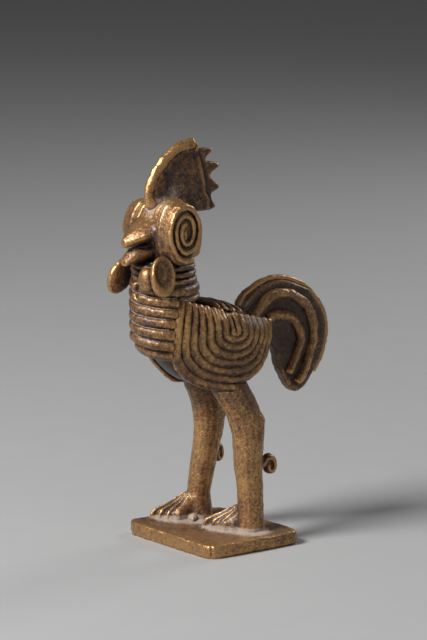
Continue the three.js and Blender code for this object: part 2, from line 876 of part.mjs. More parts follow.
function spiral(coil) {
  const perTurn = 16;
  const steps = Math.round(coil.turns * perTurn);
  const sections = [];
  for (let i = 0; i <= steps; i++) {
    sections.push(spiralSection(coil.startAngle + (i / perTurn) * 2 * Math.PI, coil));
  }
  let least = Infinity;
  for (let i = 0; i < sections.length; i++) {
    for (let j = i + perTurn / 2; j < sections.length; j++) {
      const apart = sections[i].centre.distanceTo(sections[j].centre);
      least = Math.min(least, apart - sections[i].half - sections[j].half);
    }
  }
  console.log(`${coil.name}: least gap between turns ${least.toFixed(2)} mm`);
  const profile = [[-1, 0], [-0.8, 0.7], [0, 1], [0.8, 0.7], [1, 0]];
  return skin(sections.map(({ centre, normal, half }) => profile.map(([across, up]) => new THREE.Vector3(
    coil.face + up * coil.height,
    coil.y + centre.x + normal.x * half * across,
    coil.z + centre.y + normal.y * half * across,
  ))));
}

function eyeCoil(drop) {
  return spiral({
    name: "eye coil",
    face: eyeFace + clearance,
    height: eyeCoilHeight,
    y: eyeY,
    z: eyeZ - drop,
    turns: eyeTurns,
    startAngle: Math.PI / 2,
    startLevel: eyeCentre,
    startUpright: eyeCentre * 2,
    pitchLevel: (eyeWidth / 2 - eyeCentre) / (eyeTurns + 0.5),
    pitchUpright: (eyeHeight / 2 - eyeCentre * 2) / (eyeTurns + 0.5),
  });
}

// The spur is a small curl that stands on the back of the shank.
function spur(side) {
  const t = (spurZ - footTop) / (side.hock[2] - footTop);
  const x = THREE.MathUtils.lerp(side.ankle[0], side.hock[0], t);
  const y = THREE.MathUtils.lerp(side.ankle[1], side.hock[1], t);
  const radius = THREE.MathUtils.lerp(ankleRadius, shankRadius, Math.min(1, t / 0.75)) * side.girth;
  const coil = spiral({
    name: "spur coil",
    face: -spurThickness / 2,
    height: spurThickness,
    y: radius + clearance + spurLevel,
    z: spurZ,
    turns: spurTurns,
    startAngle: Math.PI - spurTurns * 2 * Math.PI,
    startLevel: spurCentre,
    startUpright: spurCentre,
    pitchLevel: (spurLevel - spurCentre) / (spurTurns + 0.5),
    pitchUpright: (spurUpright - spurCentre) / (spurTurns + 0.5),
  });
  coil.rotateZ(-THREE.MathUtils.degToRad(side.spurTurn));
  coil.translate(x, y, 0);
  return cut(coil, skin(legRings(side, clearance)));
}

// Head

function headRings(offset = 0) {
  const bottom = neckTop + clearance;
  const stations = [[0, 0.92, 0.86], [0.18, 1, 0.97], [0.45, 1, 1], [0.72, 0.97, 0.98], [0.88, 0.8, 0.85],
    [0.97, 0.55, 0.62], [1, 0.25, 0.35]];
  return stations.map(([share, rx, ry]) => {
    const z = THREE.MathUtils.lerp(bottom - offset, headTop + offset, share);
    return levelOval(0, headY, z, headRadiusX * rx + offset, headRadiusY * ry + offset, columnSides, headPower);
  });
}

const headKeepOut = skin(headRings(clearance));

function eyeDrum(drop) {
  const stations = [[headRadiusX * 0.6, 0.97], [eyeFace - 1.2, 1], [eyeFace - 0.3, 0.985], [eyeFace, 0.93]];
  const rings = stations.map(([x, share]) => (
    sideOval(x, eyeY, eyeZ - drop, (eyeWidth / 2) * share, (eyeHeight / 2) * share, columnSides)));
  return cut(skin(rings), headKeepOut, columnKeepOut, neckRoom);
}

function drumRoom(drop) {
  const face = eyeFace + 2 * clearance + eyeCoilHeight;
  return skin([headRadiusX * 0.55, face].map((x) => (
    sideOval(x, eyeY, eyeZ - drop, eyeWidth / 2 + clearance, eyeHeight / 2 + clearance, columnSides))));
}

const drumRoomLeft = drumRoom(0);
const drumRoomRight = mirrored(drumRoom(eyeDrop));

// The thread that runs down behind the eye, on the back of the head.
function earThreadAt(drop) {
  const angle = THREE.MathUtils.degToRad(38);
  const at = (z, away) => {
    const x = Math.sin(angle) * (headRadiusX + earThread + clearance + away) * 1.1;
    const y = headY + Math.cos(angle) * (headRadiusY + earThread + clearance + away) * 1.1;
    return new THREE.Vector3(x, y, z - drop);
  };
  const line = new THREE.CatmullRomCurve3([
    at(eyeZ + 3, -0.4),
    at(eyeZ + 0.2, 0.1),
    at(eyeZ - 4, 0),
    at(eyeZ - 9.4, -0.5),
  ]);
  const tube = circleTube(line, (t) => earThread * (1 - 0.35 * t), 8, 9);
  return cut(tube, headKeepOut, drumRoom(drop), columnKeepOut, neckRoom);
}

// Beak: upright ovals along Y, drawn in to the tip

function upperBeak() {
  const stations = [[0, 0, 0, 1], [0.29, 0.22, 0.2, 0.92], [0.57, 0.47, 0.52, 0.7], [0.82, 0.75, 0.85, 0.42],
    [1, 1, 1, 0.15]];
  const rings = stations.map(([share, fall, hook, wide]) => frontOval(
    THREE.MathUtils.lerp(beakRoot, beakTip, share),
    beakTop - beakFall * fall,
    mouthZ - beakHook * hook,
    beakHalfWidth * wide,
    14,
    1.8,
  ));
  return cut(skin(rings), headKeepOut, drumRoomLeft, drumRoomRight);
}

function lowerBeak() {
  const stations = [[0, 0, 1], [0.29, 0.09, 0.94], [0.57, 0.22, 0.8], [0.72, 0.3, 0.68], [0.88, 0.62, 0.5],
    [1, 1, 0.28]];
  const rings = stations.map(([share, fall, wide]) => frontOval(
    THREE.MathUtils.lerp(beakRoot, beakTip, share),
    jawTop - jawFall * fall,
    jawBottom + jawRise * (1 - share),
    jawHalfWidth * wide,
    14,
    1.9,
  ));
  return cut(skin(rings), headKeepOut, columnKeepOut, neckRoom, drumRoomLeft, drumRoomRight);
}

// The lean swings the wattle's lower end forward and the flare swings it out.
function wattle(side) {
  const stations = [[-0.5, 0.72], [-0.28, 0.97], [0.2, 1], [0.42, 0.9], [0.5, 0.62]];
  const rings = stations.map(([share, size]) => sideOval(
    wattleX + share * wattleThickness,
    0,
    0,
    wattleHalfWidth * size,
    wattleHalfHeight * size,
    18,
  ));
  const oval = skin(rings);
  oval.translate(-wattleX, 0, 0);
  oval.rotateX(-THREE.MathUtils.degToRad(side.lean));
  oval.rotateY(-THREE.MathUtils.degToRad(wattleFlare));
  oval.translate(wattleX, wattleY - side.forward, wattleZ - side.drop);
  return cut(oval, neckRoom, breastRoom, drumRoom(side.room));
}

function throatLobe() {
  const lobe = new THREE.SphereGeometry(1, 12, 8);
  lobe.scale(lobeHalfWidth, lobeDepth, lobeHalfHeight);
  const { radius, y } = columnAt(lobeZ);
  const out = radius + clearance + neckThreadHeight + lobeDepth / 2;
  lobe.translate(lobeX, y - Math.sqrt(out * out - lobeX * lobeX), lobeZ);
  return cut(lobe, neckRoom, breastRoom);
}

// Comb, drawn in the plane across X

// The heights here are shares of the comb's height.
const combZ = (share) => combBottom + combHeight * share;
const ridgeLine = [[-28.4, 0.137], [-29, 0.313], [-26.9, 0.538], [-22.4, 0.763], [-16.5, 0.94], [-9.6, 1]];
const ridgeCurve = new THREE.CatmullRomCurve3(ridgeLine.map(([y, share]) => new THREE.Vector3(0, y, combZ(share))));
const combValleys = [[-7.8, 0.9], [-4.6, 0.715], [-2.9, 0.502], [-2, 0.253], [-3, 0]];
const combTips = [[-1.6, 0.884], [1.7, 0.659], [1.8, 0.353], [0, 0.072]];

function ridgeTube(gap) {
  return circleTube(ridgeCurve, (t) => THREE.MathUtils.lerp(ridgeFoot, ridgeHead, t) + gap, 8, 12);
}

function combRidge() {
  return cut(ridgeTube(0), headKeepOut);
}

function combBlade() {
  const shape = new THREE.Shape();
  shape.moveTo(-26, combBottom);
  for (const p of ridgeCurve.getPoints(9).slice(1)) {
    shape.lineTo(p.y + 1.2, p.z);
  }
  shape.lineTo(combValleys[0][0], combZ(combValleys[0][1]));
  for (const [i, [y, share]] of combTips.entries()) {
    const z = combZ(share);
    const [nextY, nextShare] = combValleys[i + 1];
    shape.quadraticCurveTo(y - 1.6, z + 1.2, y, z);
    shape.lineTo(y - 0.1, z - 1.2);
    shape.quadraticCurveTo(y - 2.6, z - 2, nextY, combZ(nextShare));
  }
  return cut(uprightSheet(shape, combThickness, combEdge), ridgeTube(clearance), headKeepOut);
}

// The whole figure

const figure = new THREE.Group();
figure.name = "rooster_figurine";

function add(name, geometry, color) {
  const mesh = new THREE.Mesh(geometry, finish(color));
  mesh.name = name;
  figure.add(mesh);
}

function addMirrored(name, left, color) {
  add(`${name}_left`, left, color);
  add(`${name}_right`, mirrored(left), color);
}

// The right one of a pair hangs a little lower.
function addPair(name, make, drop, color) {
  add(`${name}_left`, make(0), color);
  add(`${name}_right`, mirrored(make(drop)), color);
}

add("base_plate", basePlate(), brass.polished);
add("body_core", bodyBare, brass.dark);
for (const [name, side, room] of [["left", leftLeg, wingOverLeg], ["right", rightLeg, wingOverLeg.map(mirrored)]]) {
  add(`leg_${name}`, leg(side, room), brass.worn);
  add(`foot_${name}`, foot(side), brass.worn);
  add(`spur_${name}`, spur(side), brass.worn);
}
for (let i = 0; i < breastThreadCount; i++) {
  add(`breast_thread_${i + 1}`, breastThread(i), brass.polished);
}
for (let i = 0; i < neckThreadCount; i++) {
  add(`neck_thread_${i + 1}`, neckThread(i), brass.worn);
}
add("nape_thread", napeThread(), brass.worn);
addMirrored("wing_panel", wingPanel(), brass.dark);
for (let i = 0; i < wingThreadCount; i++) {
  addMirrored(`wing_thread_${i + 1}`, wingThread(i), brass.polished);
}
for (let i = 0; i < backThreadCount; i++) {
  add(`back_thread_${i + 1}`, backThread(i), brass.worn);
}
add("tail_plate", tailPlate(), brass.dark);
add("tail_rim", tailRim(), brass.polished);
addMirrored("tail_outer_rib", tailRib(outerRibCurve, 16), brass.polished);
addMirrored("tail_inner_rib", tailRib(innerRibCurve, 12), brass.polished);
add("head_core", skin(headRings()), brass.worn);
addPair("eye_drum", eyeDrum, eyeDrop, brass.worn);
addPair("eye_coil", eyeCoil, eyeDrop, brass.polished);
addPair("ear_thread", earThreadAt, eyeDrop, brass.worn);
add("beak_upper", upperBeak(), brass.polished);
add("beak_lower", lowerBeak(), brass.polished);
add("wattle_left", wattle(leftWattle), brass.polished);
add("wattle_right", mirrored(wattle(rightWattle)), brass.polished);
add("throat_lobe", throatLobe(), brass.worn);
add("comb_blade", combBlade(), brass.dark);
add("comb_ridge", combRidge(), brass.polished);

export default figure;
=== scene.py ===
"""Looks of a cast brass rooster figurine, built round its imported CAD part. Lengths are in metres."""
import math

import bmesh
import bpy
import numpy as np
from bpy.props import FloatProperty, FloatVectorProperty, IntProperty, PointerProperty
from bpy.types import Operator, Panel, PropertyGroup
from mathutils import Matrix, Vector
from mathutils.bvhtree import BVHTree


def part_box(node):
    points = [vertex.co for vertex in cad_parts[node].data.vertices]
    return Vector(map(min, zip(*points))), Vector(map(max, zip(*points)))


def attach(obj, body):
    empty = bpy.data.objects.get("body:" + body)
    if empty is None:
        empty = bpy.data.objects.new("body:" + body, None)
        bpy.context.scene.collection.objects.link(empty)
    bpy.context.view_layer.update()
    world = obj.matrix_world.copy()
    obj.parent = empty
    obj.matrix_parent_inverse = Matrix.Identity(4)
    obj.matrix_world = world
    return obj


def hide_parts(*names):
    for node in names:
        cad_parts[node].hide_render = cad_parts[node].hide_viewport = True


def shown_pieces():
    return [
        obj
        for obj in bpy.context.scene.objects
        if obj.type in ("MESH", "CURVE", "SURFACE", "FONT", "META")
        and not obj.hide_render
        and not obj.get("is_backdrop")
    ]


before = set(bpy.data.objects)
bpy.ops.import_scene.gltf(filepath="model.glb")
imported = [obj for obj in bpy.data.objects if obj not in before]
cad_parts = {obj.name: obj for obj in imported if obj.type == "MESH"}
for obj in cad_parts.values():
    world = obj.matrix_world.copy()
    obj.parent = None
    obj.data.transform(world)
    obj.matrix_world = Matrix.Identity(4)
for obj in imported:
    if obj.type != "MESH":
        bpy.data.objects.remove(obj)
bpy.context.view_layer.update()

bl_info = {
    "name": "Cast Rooster Figurine",
    "version": (1, 0, 0),
    "blender": (4, 5, 0),
    "location": "View3D > Sidebar > Rooster",
    "description": "Builds the worn, hand-cast surface of a brass rooster round its CAD part",
    "category": "Object",
}

MM = 0.001

# Which way each side of the bird lies along X
OUTWARD = {"left": 1, "right": -1}

# A quick try has coarser faces, so a fine mesh takes more passes to soften as far
FINE_PASSES = 2.4

# Each foot's ankle, the turn of its first toe in degrees and the reach of its grooves, in millimetres
TOES = {"left": ((14.3, 6.4), -50, 16), "right": ((-14.5, 4.3), -26, 16.5)}
TOE_FAN = 9
TOE_GROOVES = 3

# How worn a point is where its metal turns brown, golden and bright
BROWN = -0.35
GOLDEN = 0.0
BRIGHT = 0.42

# How far the eyes and the threads behind them are set in towards the head, in millimetres
EYE_SET_IN = 1.6

# The balls of the clay lump on the plate: middle and radius in millimetres
LUMP_BALLS = (
    ((-12.3, -1.5, 5.7), 1.2),
    ((-11.1, -0.7, 5.9), 1.4),
    ((-10.3, -1.9, 5.5), 1),
)

# Places on the bird in millimetres, their radii, and how strongly they are marked there
CLAY_PLACES = (
    ((-10, 2, 5.5), (9, 12, 1.6), 0.95),
    ((-19, -6, 5.5), (8, 9, 1.4), 0.8),
    ((18, 5, 5.5), (8, 9, 1.6), 0.95),
    ((6, -1, 5.5), (9, 8, 1.4), 0.85),
    ((7, -1, 9), (9, 8, 4), 0.3),
    ((-18, -4, 9), (8, 9, 4), 0.3),
    ((0, -13, 135), (5, 9, 10), 0.25),
    ((4, -24, 127), (9, 7, 4), 0.55),
    ((0, -28, 124), (5, 5, 4), 0.45),
    ((0, -19, 131), (4, 5, 5), 0.35),
    ((13, 11, 84), (6, 9, 5), 0.7),
    ((-13, 11, 84), (6, 9, 5), 0.7),
    ((13, -2, 88), (6, 9, 4), 0.35),
    ((-13, -2, 88), (6, 9, 4), 0.35),
    ((11, -21, 96), (5, 4, 4), 0.5),
    ((-11, -21, 96), (5, 4, 4), 0.5),
    ((0, 12, 87), (7, 6, 5), 0.5),
    ((10, -27, 119), (4, 7, 9), 0.42),
    ((-10, -27, 118), (4, 7, 9), 0.42),
    ((0, -22, 104), (14, 14, 6), -0.8),
)
# How much more or less worn the metal is at these places. Some marks also paint light and shade: painted
# shade on the beak's sides under the brow, on the neck under the head, on the belly and on the underside of
# the breast, and painted light on the plate's front face
WORN_AND_PAINTED_LIGHT_PLACES = (
    ((0, -38, 118), (5, 6, 5), 0.12),
    ((0, -31, 116), (17, 12, 12), -0.15),
    ((0, -21, 136), (4, 2.2, 8), -0.35),
    # Painted shade on both sides of the beak's root, under the brow
    ((8, -30, 116), (4, 4, 6), -0.4),
    ((-8, -30, 116), (4, 4, 6), -0.4),
    ((15, -31.6, 104.5), (2, 3.6, 4.5), -0.4),
    ((-15, -32.5, 102.5), (2, 3.6, 4.5), -0.4),
    ((13, -31, 97), (3, 6, 2.5), 0.2),
    ((0, -36, 84), (16, 8, 14), -0.2),
    ((0, -27, 139), (3, 7, 13), 0.3),
    ((14, -25, 84), (5, 4, 13), 0.25),
    ((-14, -25, 84), (5, 4, 13), 0.25),
    ((6, -1, 9), (11, 10, 6), -0.4),
    ((-19, -4, 9), (9, 11, 6), -0.4),
    ((0, -12, 135), (5, 9, 10), 0.15),
    ((0, 0, 5.5), (20, 14, 1.5), -0.25),
    # Painted light on the plate's front face, along with wear on its edge
    ((0, -25, 2.5), (26, 6, 4), 0.35),
    ((13, 6, 30), (7, 8, 18), 0.16),
    ((-13, 5, 30), (7, 8, 18), 0.16),
    # Painted shade on the belly and the tops of the legs under the body, with darker patina
    ((0, 0, 60), (18, 22, 14), -0.55),
    # Painted shade on the neck under the head, with darker patina
    ((0, -22, 104), (14, 14, 7), -0.5),
    # Painted shade on the underside of the breast, with darker patina
    ((0, -24, 62), (14, 16, 9), -0.3),
    ((0, 32, 74), (4, 9, 14), -0.4),
)


# Sizes and colours that a user would change

class RoosterCasting(PropertyGroup):
    """How the wax was worked and how the metal came out of the mould."""

    grain: FloatProperty(
        name="Mesh grain",
        description="Width of the small faces that a worked piece is made of",
        default=0.36 * MM, min=0.2 * MM, max=2 * MM, precision=5, unit="LENGTH",
    )
    weld: FloatProperty(
        name="Weld",
        description="How far each piece swells, so that it meets its neighbours as fused wax does",
        default=0.17 * MM, min=0, max=0.5 * MM, precision=5, unit="LENGTH",
    )
    wander: FloatProperty(
        name="Wander",
        description="How far hand-laid threads and sheets stray from their line",
        default=0.9 * MM, min=0, max=3 * MM, precision=5, unit="LENGTH",
    )
    wander_size: FloatProperty(
        name="Wander size",
        description="Length over which a thread strays and comes back",
        default=11 * MM, min=2 * MM, max=60 * MM, precision=4, unit="LENGTH",
    )
    lumps: FloatProperty(
        name="Lumps",
        description="Height of the finger-made lumps on every surface",
        default=0.42 * MM, min=0, max=1 * MM, precision=5, unit="LENGTH",
    )
    lump_size: FloatProperty(
        name="Lump size",
        description="Width of the finger-made lumps",
        default=3.4 * MM, min=1 * MM, max=20 * MM, precision=4, unit="LENGTH",
    )
    skin: FloatProperty(
        name="Casting skin",
        description="Height of the fine roughness that the clay mould leaves",
        default=0.16 * MM, min=0, max=0.5 * MM, precision=5, unit="LENGTH",
    )
    skin_size: FloatProperty(
        name="Skin size",
        description="Width of the fine roughness",
        default=0.9 * MM, min=0.2 * MM, max=5 * MM, precision=5, unit="LENGTH",
    )


class RoosterBrass(PropertyGroup):
    """Colours of the metal and of what lies on it."""

    gold: FloatVectorProperty(
        name="Rubbed brass", description="Colour of the ridges that hands have rubbed",
        default=(0.56, 0.31, 0.115), size=3, min=0, max=1, subtype="COLOR",
    )
    bronze: FloatVectorProperty(
        name="Golden brown", description="Colour of the metal that hands sometimes touch",
        default=(0.25, 0.124, 0.052), size=3, min=0, max=1, subtype="COLOR",
    )
    patina: FloatVectorProperty(
        name="Brown patina", description="Colour of the metal that is seldom touched",
        default=(0.06, 0.033, 0.021), size=3, min=0, max=1, subtype="COLOR",
    )
    # Near-black colour of old dirt in the grooves, which also paints the shade that falls in them
    soot_and_shade: FloatVectorProperty(
        name="Dark of the hollows", description="Colour of old dirt deep in the grooves",
        default=(0.018, 0.012, 0.009), size=3, min=0, max=1, subtype="COLOR",
    )
    residue: FloatVectorProperty(
        name="Clay residue", description="Colour of the grey clay left by the mould",
        default=(0.42, 0.33, 0.265), size=3, min=0, max=1, subtype="COLOR",
    )
    rubbed_roughness: FloatProperty(
        name="Rubbed roughness", description="Roughness of the rubbed ridges",
        default=0.36, min=0, max=1, subtype="FACTOR",
    )
    patina_roughness: FloatProperty(
        name="Patina roughness", description="Roughness of the brown patina",
        default=0.52, min=0, max=1, subtype="FACTOR",
    )


class RoosterStage(PropertyGroup):
    """Floor, lamps and camera."""

    floor: FloatVectorProperty(
        name="Floor", description="Colour of the floor",
        default=(0.41, 0.41, 0.41), size=3, min=0, max=1, subtype="COLOR",
    )
    ambient: FloatProperty(
        name="Ambient", description="Strength of the light from all round",
        default=0.08, min=0, max=1,
    )
    key: FloatProperty(
        name="Key lamp", description="Power of the soft lamp at the upper left",
        default=23, min=0, max=200, unit="POWER",
    )
    fill: FloatProperty(
        name="Fill lamp", description="Power of the weak lamp on the camera's side",
        default=1.1, min=0, max=200, unit="POWER",
    )
    rim: FloatProperty(
        name="Rim lamp", description="Power of the lamp behind on the right",
        default=4, min=0, max=200, unit="POWER",
    )
    azimuth: FloatProperty(
        name="Camera azimuth", description="Angle of the camera round the bird, from the way it faces",
        default=math.radians(52.71), subtype="ANGLE",
    )
    elevation: FloatProperty(
        name="Camera elevation", description="Angle of the camera above the horizon",
        default=math.radians(10.225), subtype="ANGLE",
    )
    distance: FloatProperty(
        name="Camera distance", description="Distance from the camera to what it looks at",
        default=1.2, min=0.3, max=10, unit="LENGTH",
    )
    target: FloatVectorProperty(
        name="Camera target", description="Point that the camera looks at",
        default=(0.073 * MM, 0.096 * MM, 82.09 * MM), size=3, subtype="XYZ", unit="LENGTH",
    )
    lens: FloatProperty(
        name="Focal length", description="Focal length in millimetres for a 36 mm sensor",
        default=184.545, min=20, max=500,
    )


class RoosterSettings(PropertyGroup):
    """Everything that can be set on the rooster."""

    casting: PointerProperty(type=RoosterCasting)
    brass: PointerProperty(type=RoosterBrass)
    stage: PointerProperty(type=RoosterStage)
    wear_rays: IntProperty(
        name="Wear rays", description="Directions in which each point looks for neighbours that shade it",
        default=26, min=8, max=200,
    )


# Work on one piece

def chosen():
    """The settings in use."""
    return bpy.context.scene.rooster


def as_piece(shape, name):
    """A new object of a finished bmesh."""
    mesh = bpy.data.meshes.new(name)
    shape.to_mesh(mesh)
    shape.free()
    piece = bpy.data.objects.new(name, mesh)
    bpy.context.scene.collection.objects.link(piece)
    return piece


def merged_shape(*nodes):
    """A bmesh with the shape of some CAD nodes, their doubled corners merged."""
    shape = bmesh.new()
    for node in nodes:
        shape.from_mesh(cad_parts[node].data)
    bmesh.ops.remove_doubles(shape, verts=shape.verts, dist=0.001 * MM)
    return shape


def add_ball(shape, middle, radii):
    """Adds an oval ball of wax to a shape."""
    made = bmesh.ops.create_uvsphere(shape, u_segments=32, v_segments=20, radius=1)["verts"]
    bmesh.ops.scale(shape, vec=radii, verts=made)
    bmesh.ops.translate(shape, vec=middle, verts=made)


def add_modifier(piece, kind, **values):
    """Adds one modifier and sets its values."""
    made = piece.modifiers.new(kind.title(), kind)
    for key, value in values.items():
        setattr(made, key, value)
    return made


def apply_modifiers(piece):
    """Makes what the modifiers show the piece's own mesh."""
    graph = bpy.context.evaluated_depsgraph_get()
    shown = bpy.data.meshes.new_from_object(piece.evaluated_get(graph))
    plain = piece.data
    piece.modifiers.clear()
    piece.data = shown
    bpy.data.meshes.remove(plain)
    shown.name = piece.name


def cloud(name, size, depth=2, coloured=False):
    """A cloud pattern for a Displace modifier, made once."""
    made = bpy.data.textures.get(name)
    if made is None:
        made = bpy.data.textures.new(name, "CLOUDS")
        made.noise_scale = size
        made.noise_depth = depth
        made.cloud_type = "COLOR" if coloured else "GRAYSCALE"
    return made


def grain_of(share=1.0):
    """Voxel width for a piece, as a share of the mesh grain."""
    return chosen().casting.grain * share * 1


def passes_of(count):
    """How many passes soften this mesh as far as count passes soften the one of a quick try."""
    return round(count * FINE_PASSES)


def hand_worked(piece, grain=1.0, soften=4, weld=1.0, lumps=1.0, skin=1.0, fillet=0):
    """Turns a piece's hard CAD form into wax worked by hand: even faces, soft edges, small lumps.

    grain, weld, lumps and skin are shares of the settings; soften and fillet are numbers of passes."""
    casting = chosen().casting
    add_modifier(piece, "REMESH", mode="VOXEL", voxel_size=grain_of(grain), use_smooth_shade=True)
    if fillet:
        apply_modifiers(piece)
        fill_creases(piece, passes_of(fillet))
    add_modifier(piece, "SMOOTH", factor=0.5, iterations=passes_of(soften))
    add_modifier(piece, "DISPLACE", strength=casting.weld * weld, mid_level=0)
    add_modifier(
        piece, "DISPLACE", texture=cloud("hand wander", casting.wander_size, 1, True),
        direction="RGB_TO_XYZ", strength=casting.wander, mid_level=0.5, texture_coords="LOCAL",
    )
    add_modifier(
        piece, "DISPLACE", texture=cloud("finger lumps", casting.lump_size),
        strength=casting.lumps * lumps, mid_level=0.5, texture_coords="LOCAL",
    )
    add_modifier(
        piece, "DISPLACE", texture=cloud("mould skin", casting.skin_size, 3),
        strength=casting.skin * skin, mid_level=0.5, texture_coords="LOCAL",
    )
    apply_modifiers(piece)
    return piece


def points_of(piece):
    """The piece's points and their normals, as arrays."""
    mesh = piece.data
    points = np.empty(len(mesh.vertices) * 3)
    mesh.vertices.foreach_get("co", points)
    normals = np.empty(len(mesh.vertices) * 3)
    mesh.vertices.foreach_get("normal", normals)
    return points.reshape(-1, 3), normals.reshape(-1, 3)


def press(piece, rule):
    """Moves each point by what rule(points, normals) gives, as a thumb or tool would."""
    points, normals = points_of(piece)
    points = points + rule(points, normals)
    piece.data.vertices.foreach_set("co", points.ravel())
    piece.data.update()


def edge_pairs(mesh):
    """The two points of each edge."""
    pairs = np.empty(len(mesh.edges) * 2, np.int64)
    mesh.edges.foreach_get("vertices", pairs)
    return pairs.reshape(-1, 2)


def neighbour_mean(values, pairs):
    """Each point's mean over the points that share an edge with it."""
    first, second = pairs.T
    count = len(values)
    shares = np.maximum(np.bincount(pairs.ravel(), minlength=count), 1)
    columns = [
        (np.bincount(first, column[second], count) + np.bincount(second, column[first], count)) / shares
        for column in values.reshape(count, -1).T
    ]
    return np.stack(columns, 1).reshape(values.shape)


def fill_creases(piece, passes):
    """Fills the creases of a piece, as smeared wax does, and leaves its ridges as they are."""
    pairs = edge_pairs(piece.data)
    pace = 0.7

    def rise(points, normals):
        inward = np.einsum("ij,ij->i", neighbour_mean(points, pairs) - points, normals)
        return normals * (pace * np.clip(inward, 0, None))[:, None]

    for _ in range(passes):
        press(piece, rise)


def smoothstep(low, high, value):
    """0 below low, 1 above high and a soft slope between."""
    share = np.clip((value - low) / (high - low), 0, 1)
    return share * share * (3 - 2 * share)


def tree_of(pieces):
    """One search tree over all the pieces' faces."""
    points, faces, count = [], [], 0
    for piece in pieces:
        found, _ = points_of(piece)
        points.extend(map(tuple, found))
        faces.extend(tuple(count + i for i in face.vertices) for face in piece.data.polygons)
        count += len(found)
    return BVHTree.FromPolygons(points, faces)


def flare(piece, partners, reach, height):
    """Swells a piece where it comes near its partners, as wax smeared into a joint does."""
    tree = tree_of(partners)
    points, normals = points_of(piece)
    rise = np.zeros(len(points))
    for i, point in enumerate(points):
        near = tree.find_nearest(point, reach)
        if near[0] is not None:
            rise[i] = height * (1 - near[3] / reach) ** 2
    piece.data.vertices.foreach_set("co", (points + normals * rise[:, None]).ravel())
    piece.data.update()


def let_in(piece, depth, towards):
    """Sets a thread into what it lies on, so that it spreads and its crest stays where it was."""
    press(piece, lambda points, normals: depth * towards(points))


def stand_in(piece, material, slot, *nodes):
    """Gives a finished piece its body, the CAD nodes that it stands for, and its finish."""
    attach(piece, "root")
    if nodes:
        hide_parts(*nodes)
    piece.data.materials.clear()
    piece.data.materials.append(material)
    piece.data.shade_smooth()
    return piece


def cast_piece(node, material, slot, **work):
    """A CAD node worked by hand under a new name."""
    piece = hand_worked(as_piece(merged_shape(node), f"cast_{node}"), **work)
    return stand_in(piece, material, slot, node)


# Brass

class NodeBench:
    """Lays shader nodes and wires them."""

    def __init__(self, name):
        self.material = bpy.data.materials.new(name)
        self.material.use_nodes = True
        self.tree = self.material.node_tree
        self.tree.nodes.clear()
        self.coords = self.lay("ShaderNodeTexCoord").outputs["Object"]

    def lay(self, kind, **values):
        node = self.tree.nodes.new(kind)
        for key, value in values.items():
            setattr(node, key, value)
        return node

    def feed(self, socket, value):
        """Wires an output into a socket, or sets a plain value."""
        if isinstance(value, bpy.types.NodeSocket):
            self.tree.links.new(value, socket)
        else:
            socket.default_value = value

    def attribute(self, name):
        return self.lay("ShaderNodeAttribute", attribute_name=name).outputs["Fac"]

    def noise(self, scale, detail=2.0, roughness=0.5):
        node = self.lay("ShaderNodeTexNoise")
        self.feed(node.inputs["Vector"], self.coords)
        self.feed(node.inputs["Scale"], scale)
        self.feed(node.inputs["Detail"], detail)
        self.feed(node.inputs["Roughness"], roughness)
        return node.outputs["Fac"]

    def cells(self, scale):
        node = self.lay("ShaderNodeTexVoronoi")
        self.feed(node.inputs["Vector"], self.coords)
        self.feed(node.inputs["Scale"], scale)
        return node.outputs["Distance"]

    def math(self, operation, a, b=0.0, c=0.0):
        node = self.lay("ShaderNodeMath", operation=operation)
        for socket, value in zip(node.inputs, (a, b, c)):
            self.feed(socket, value)
        return node.outputs[0]

    def ramp(self, value, low, high, start=0.0, end=1.0):
        node = self.lay("ShaderNodeMapRange", interpolation_type="SMOOTHSTEP")
        for key, setting in (
            ("Value", value), ("From Min", low), ("From Max", high), ("To Min", start), ("To Max", end),
        ):
            self.feed(node.inputs[key], setting)
        return node.outputs["Result"]

    def mix(self, share, first, second):
        node = self.lay("ShaderNodeMix", data_type="RGBA")
        self.feed(node.inputs["Factor"], share)
        self.feed(node.inputs["A"], first)
        self.feed(node.inputs["B"], second)
        return node.outputs["Result"]

    def bump(self, height, strength, distance):
        node = self.lay("ShaderNodeBump")
        self.feed(node.inputs["Strength"], strength)
        self.feed(node.inputs["Distance"], distance)
        self.feed(node.inputs["Height"], height)
        return node.outputs["Normal"]


def colour(value):
    """A colour with its fourth number."""
    return (*value, 1.0)


def wear_of(bench, grain, specks, rubbed):
    """How worn each point is: more on its edges and where hands touch, less in its hollows, all unevenly,
    with painted light and painted shade added at some places.
    """
    patterns = ((bench.noise(110, 3), 0.8), (bench.noise(520, 4), 0.9), (grain, 1.6), (specks, 0.8))
    even = rubbed - 0.5 * sum(share for _, share in patterns)
    wear = bench.math("MULTIPLY_ADD", bench.attribute("edge"), 0.95, even)
    # The rubbed attribute adds wear, and also painted light and painted shade at the places listed for it
    wear = bench.math("ADD", wear, bench.attribute("rubbed"))
    for pattern, share in (*patterns, (bench.attribute("hollow"), -0.9)):
        wear = bench.math("MULTIPLY_ADD", pattern, share, wear)
    return wear


def dirt_and_shade_of(bench, grain, depth):
    """Old dirt and painted shade deep in the hollows, darker where more of what a point looks at is the
    bird, no darker than depth.
    """
    dirt = bench.math("MULTIPLY_ADD", grain, 0.22, bench.attribute("hollow"))
    return bench.ramp(dirt, 0.42, 0.86, 0.0, depth)


def dust_of(bench, grain, specks, dust):
    """Grey clay of the mould, in grains."""
    dusty = bench.math("MULTIPLY_ADD", grain, 0.75, bench.attribute("clay"))
    dusty = bench.math("MULTIPLY_ADD", specks, 0.3, dusty)
    return bench.ramp(dusty, 0.86 - dust, 1.22 - dust, 0.0, 0.9)


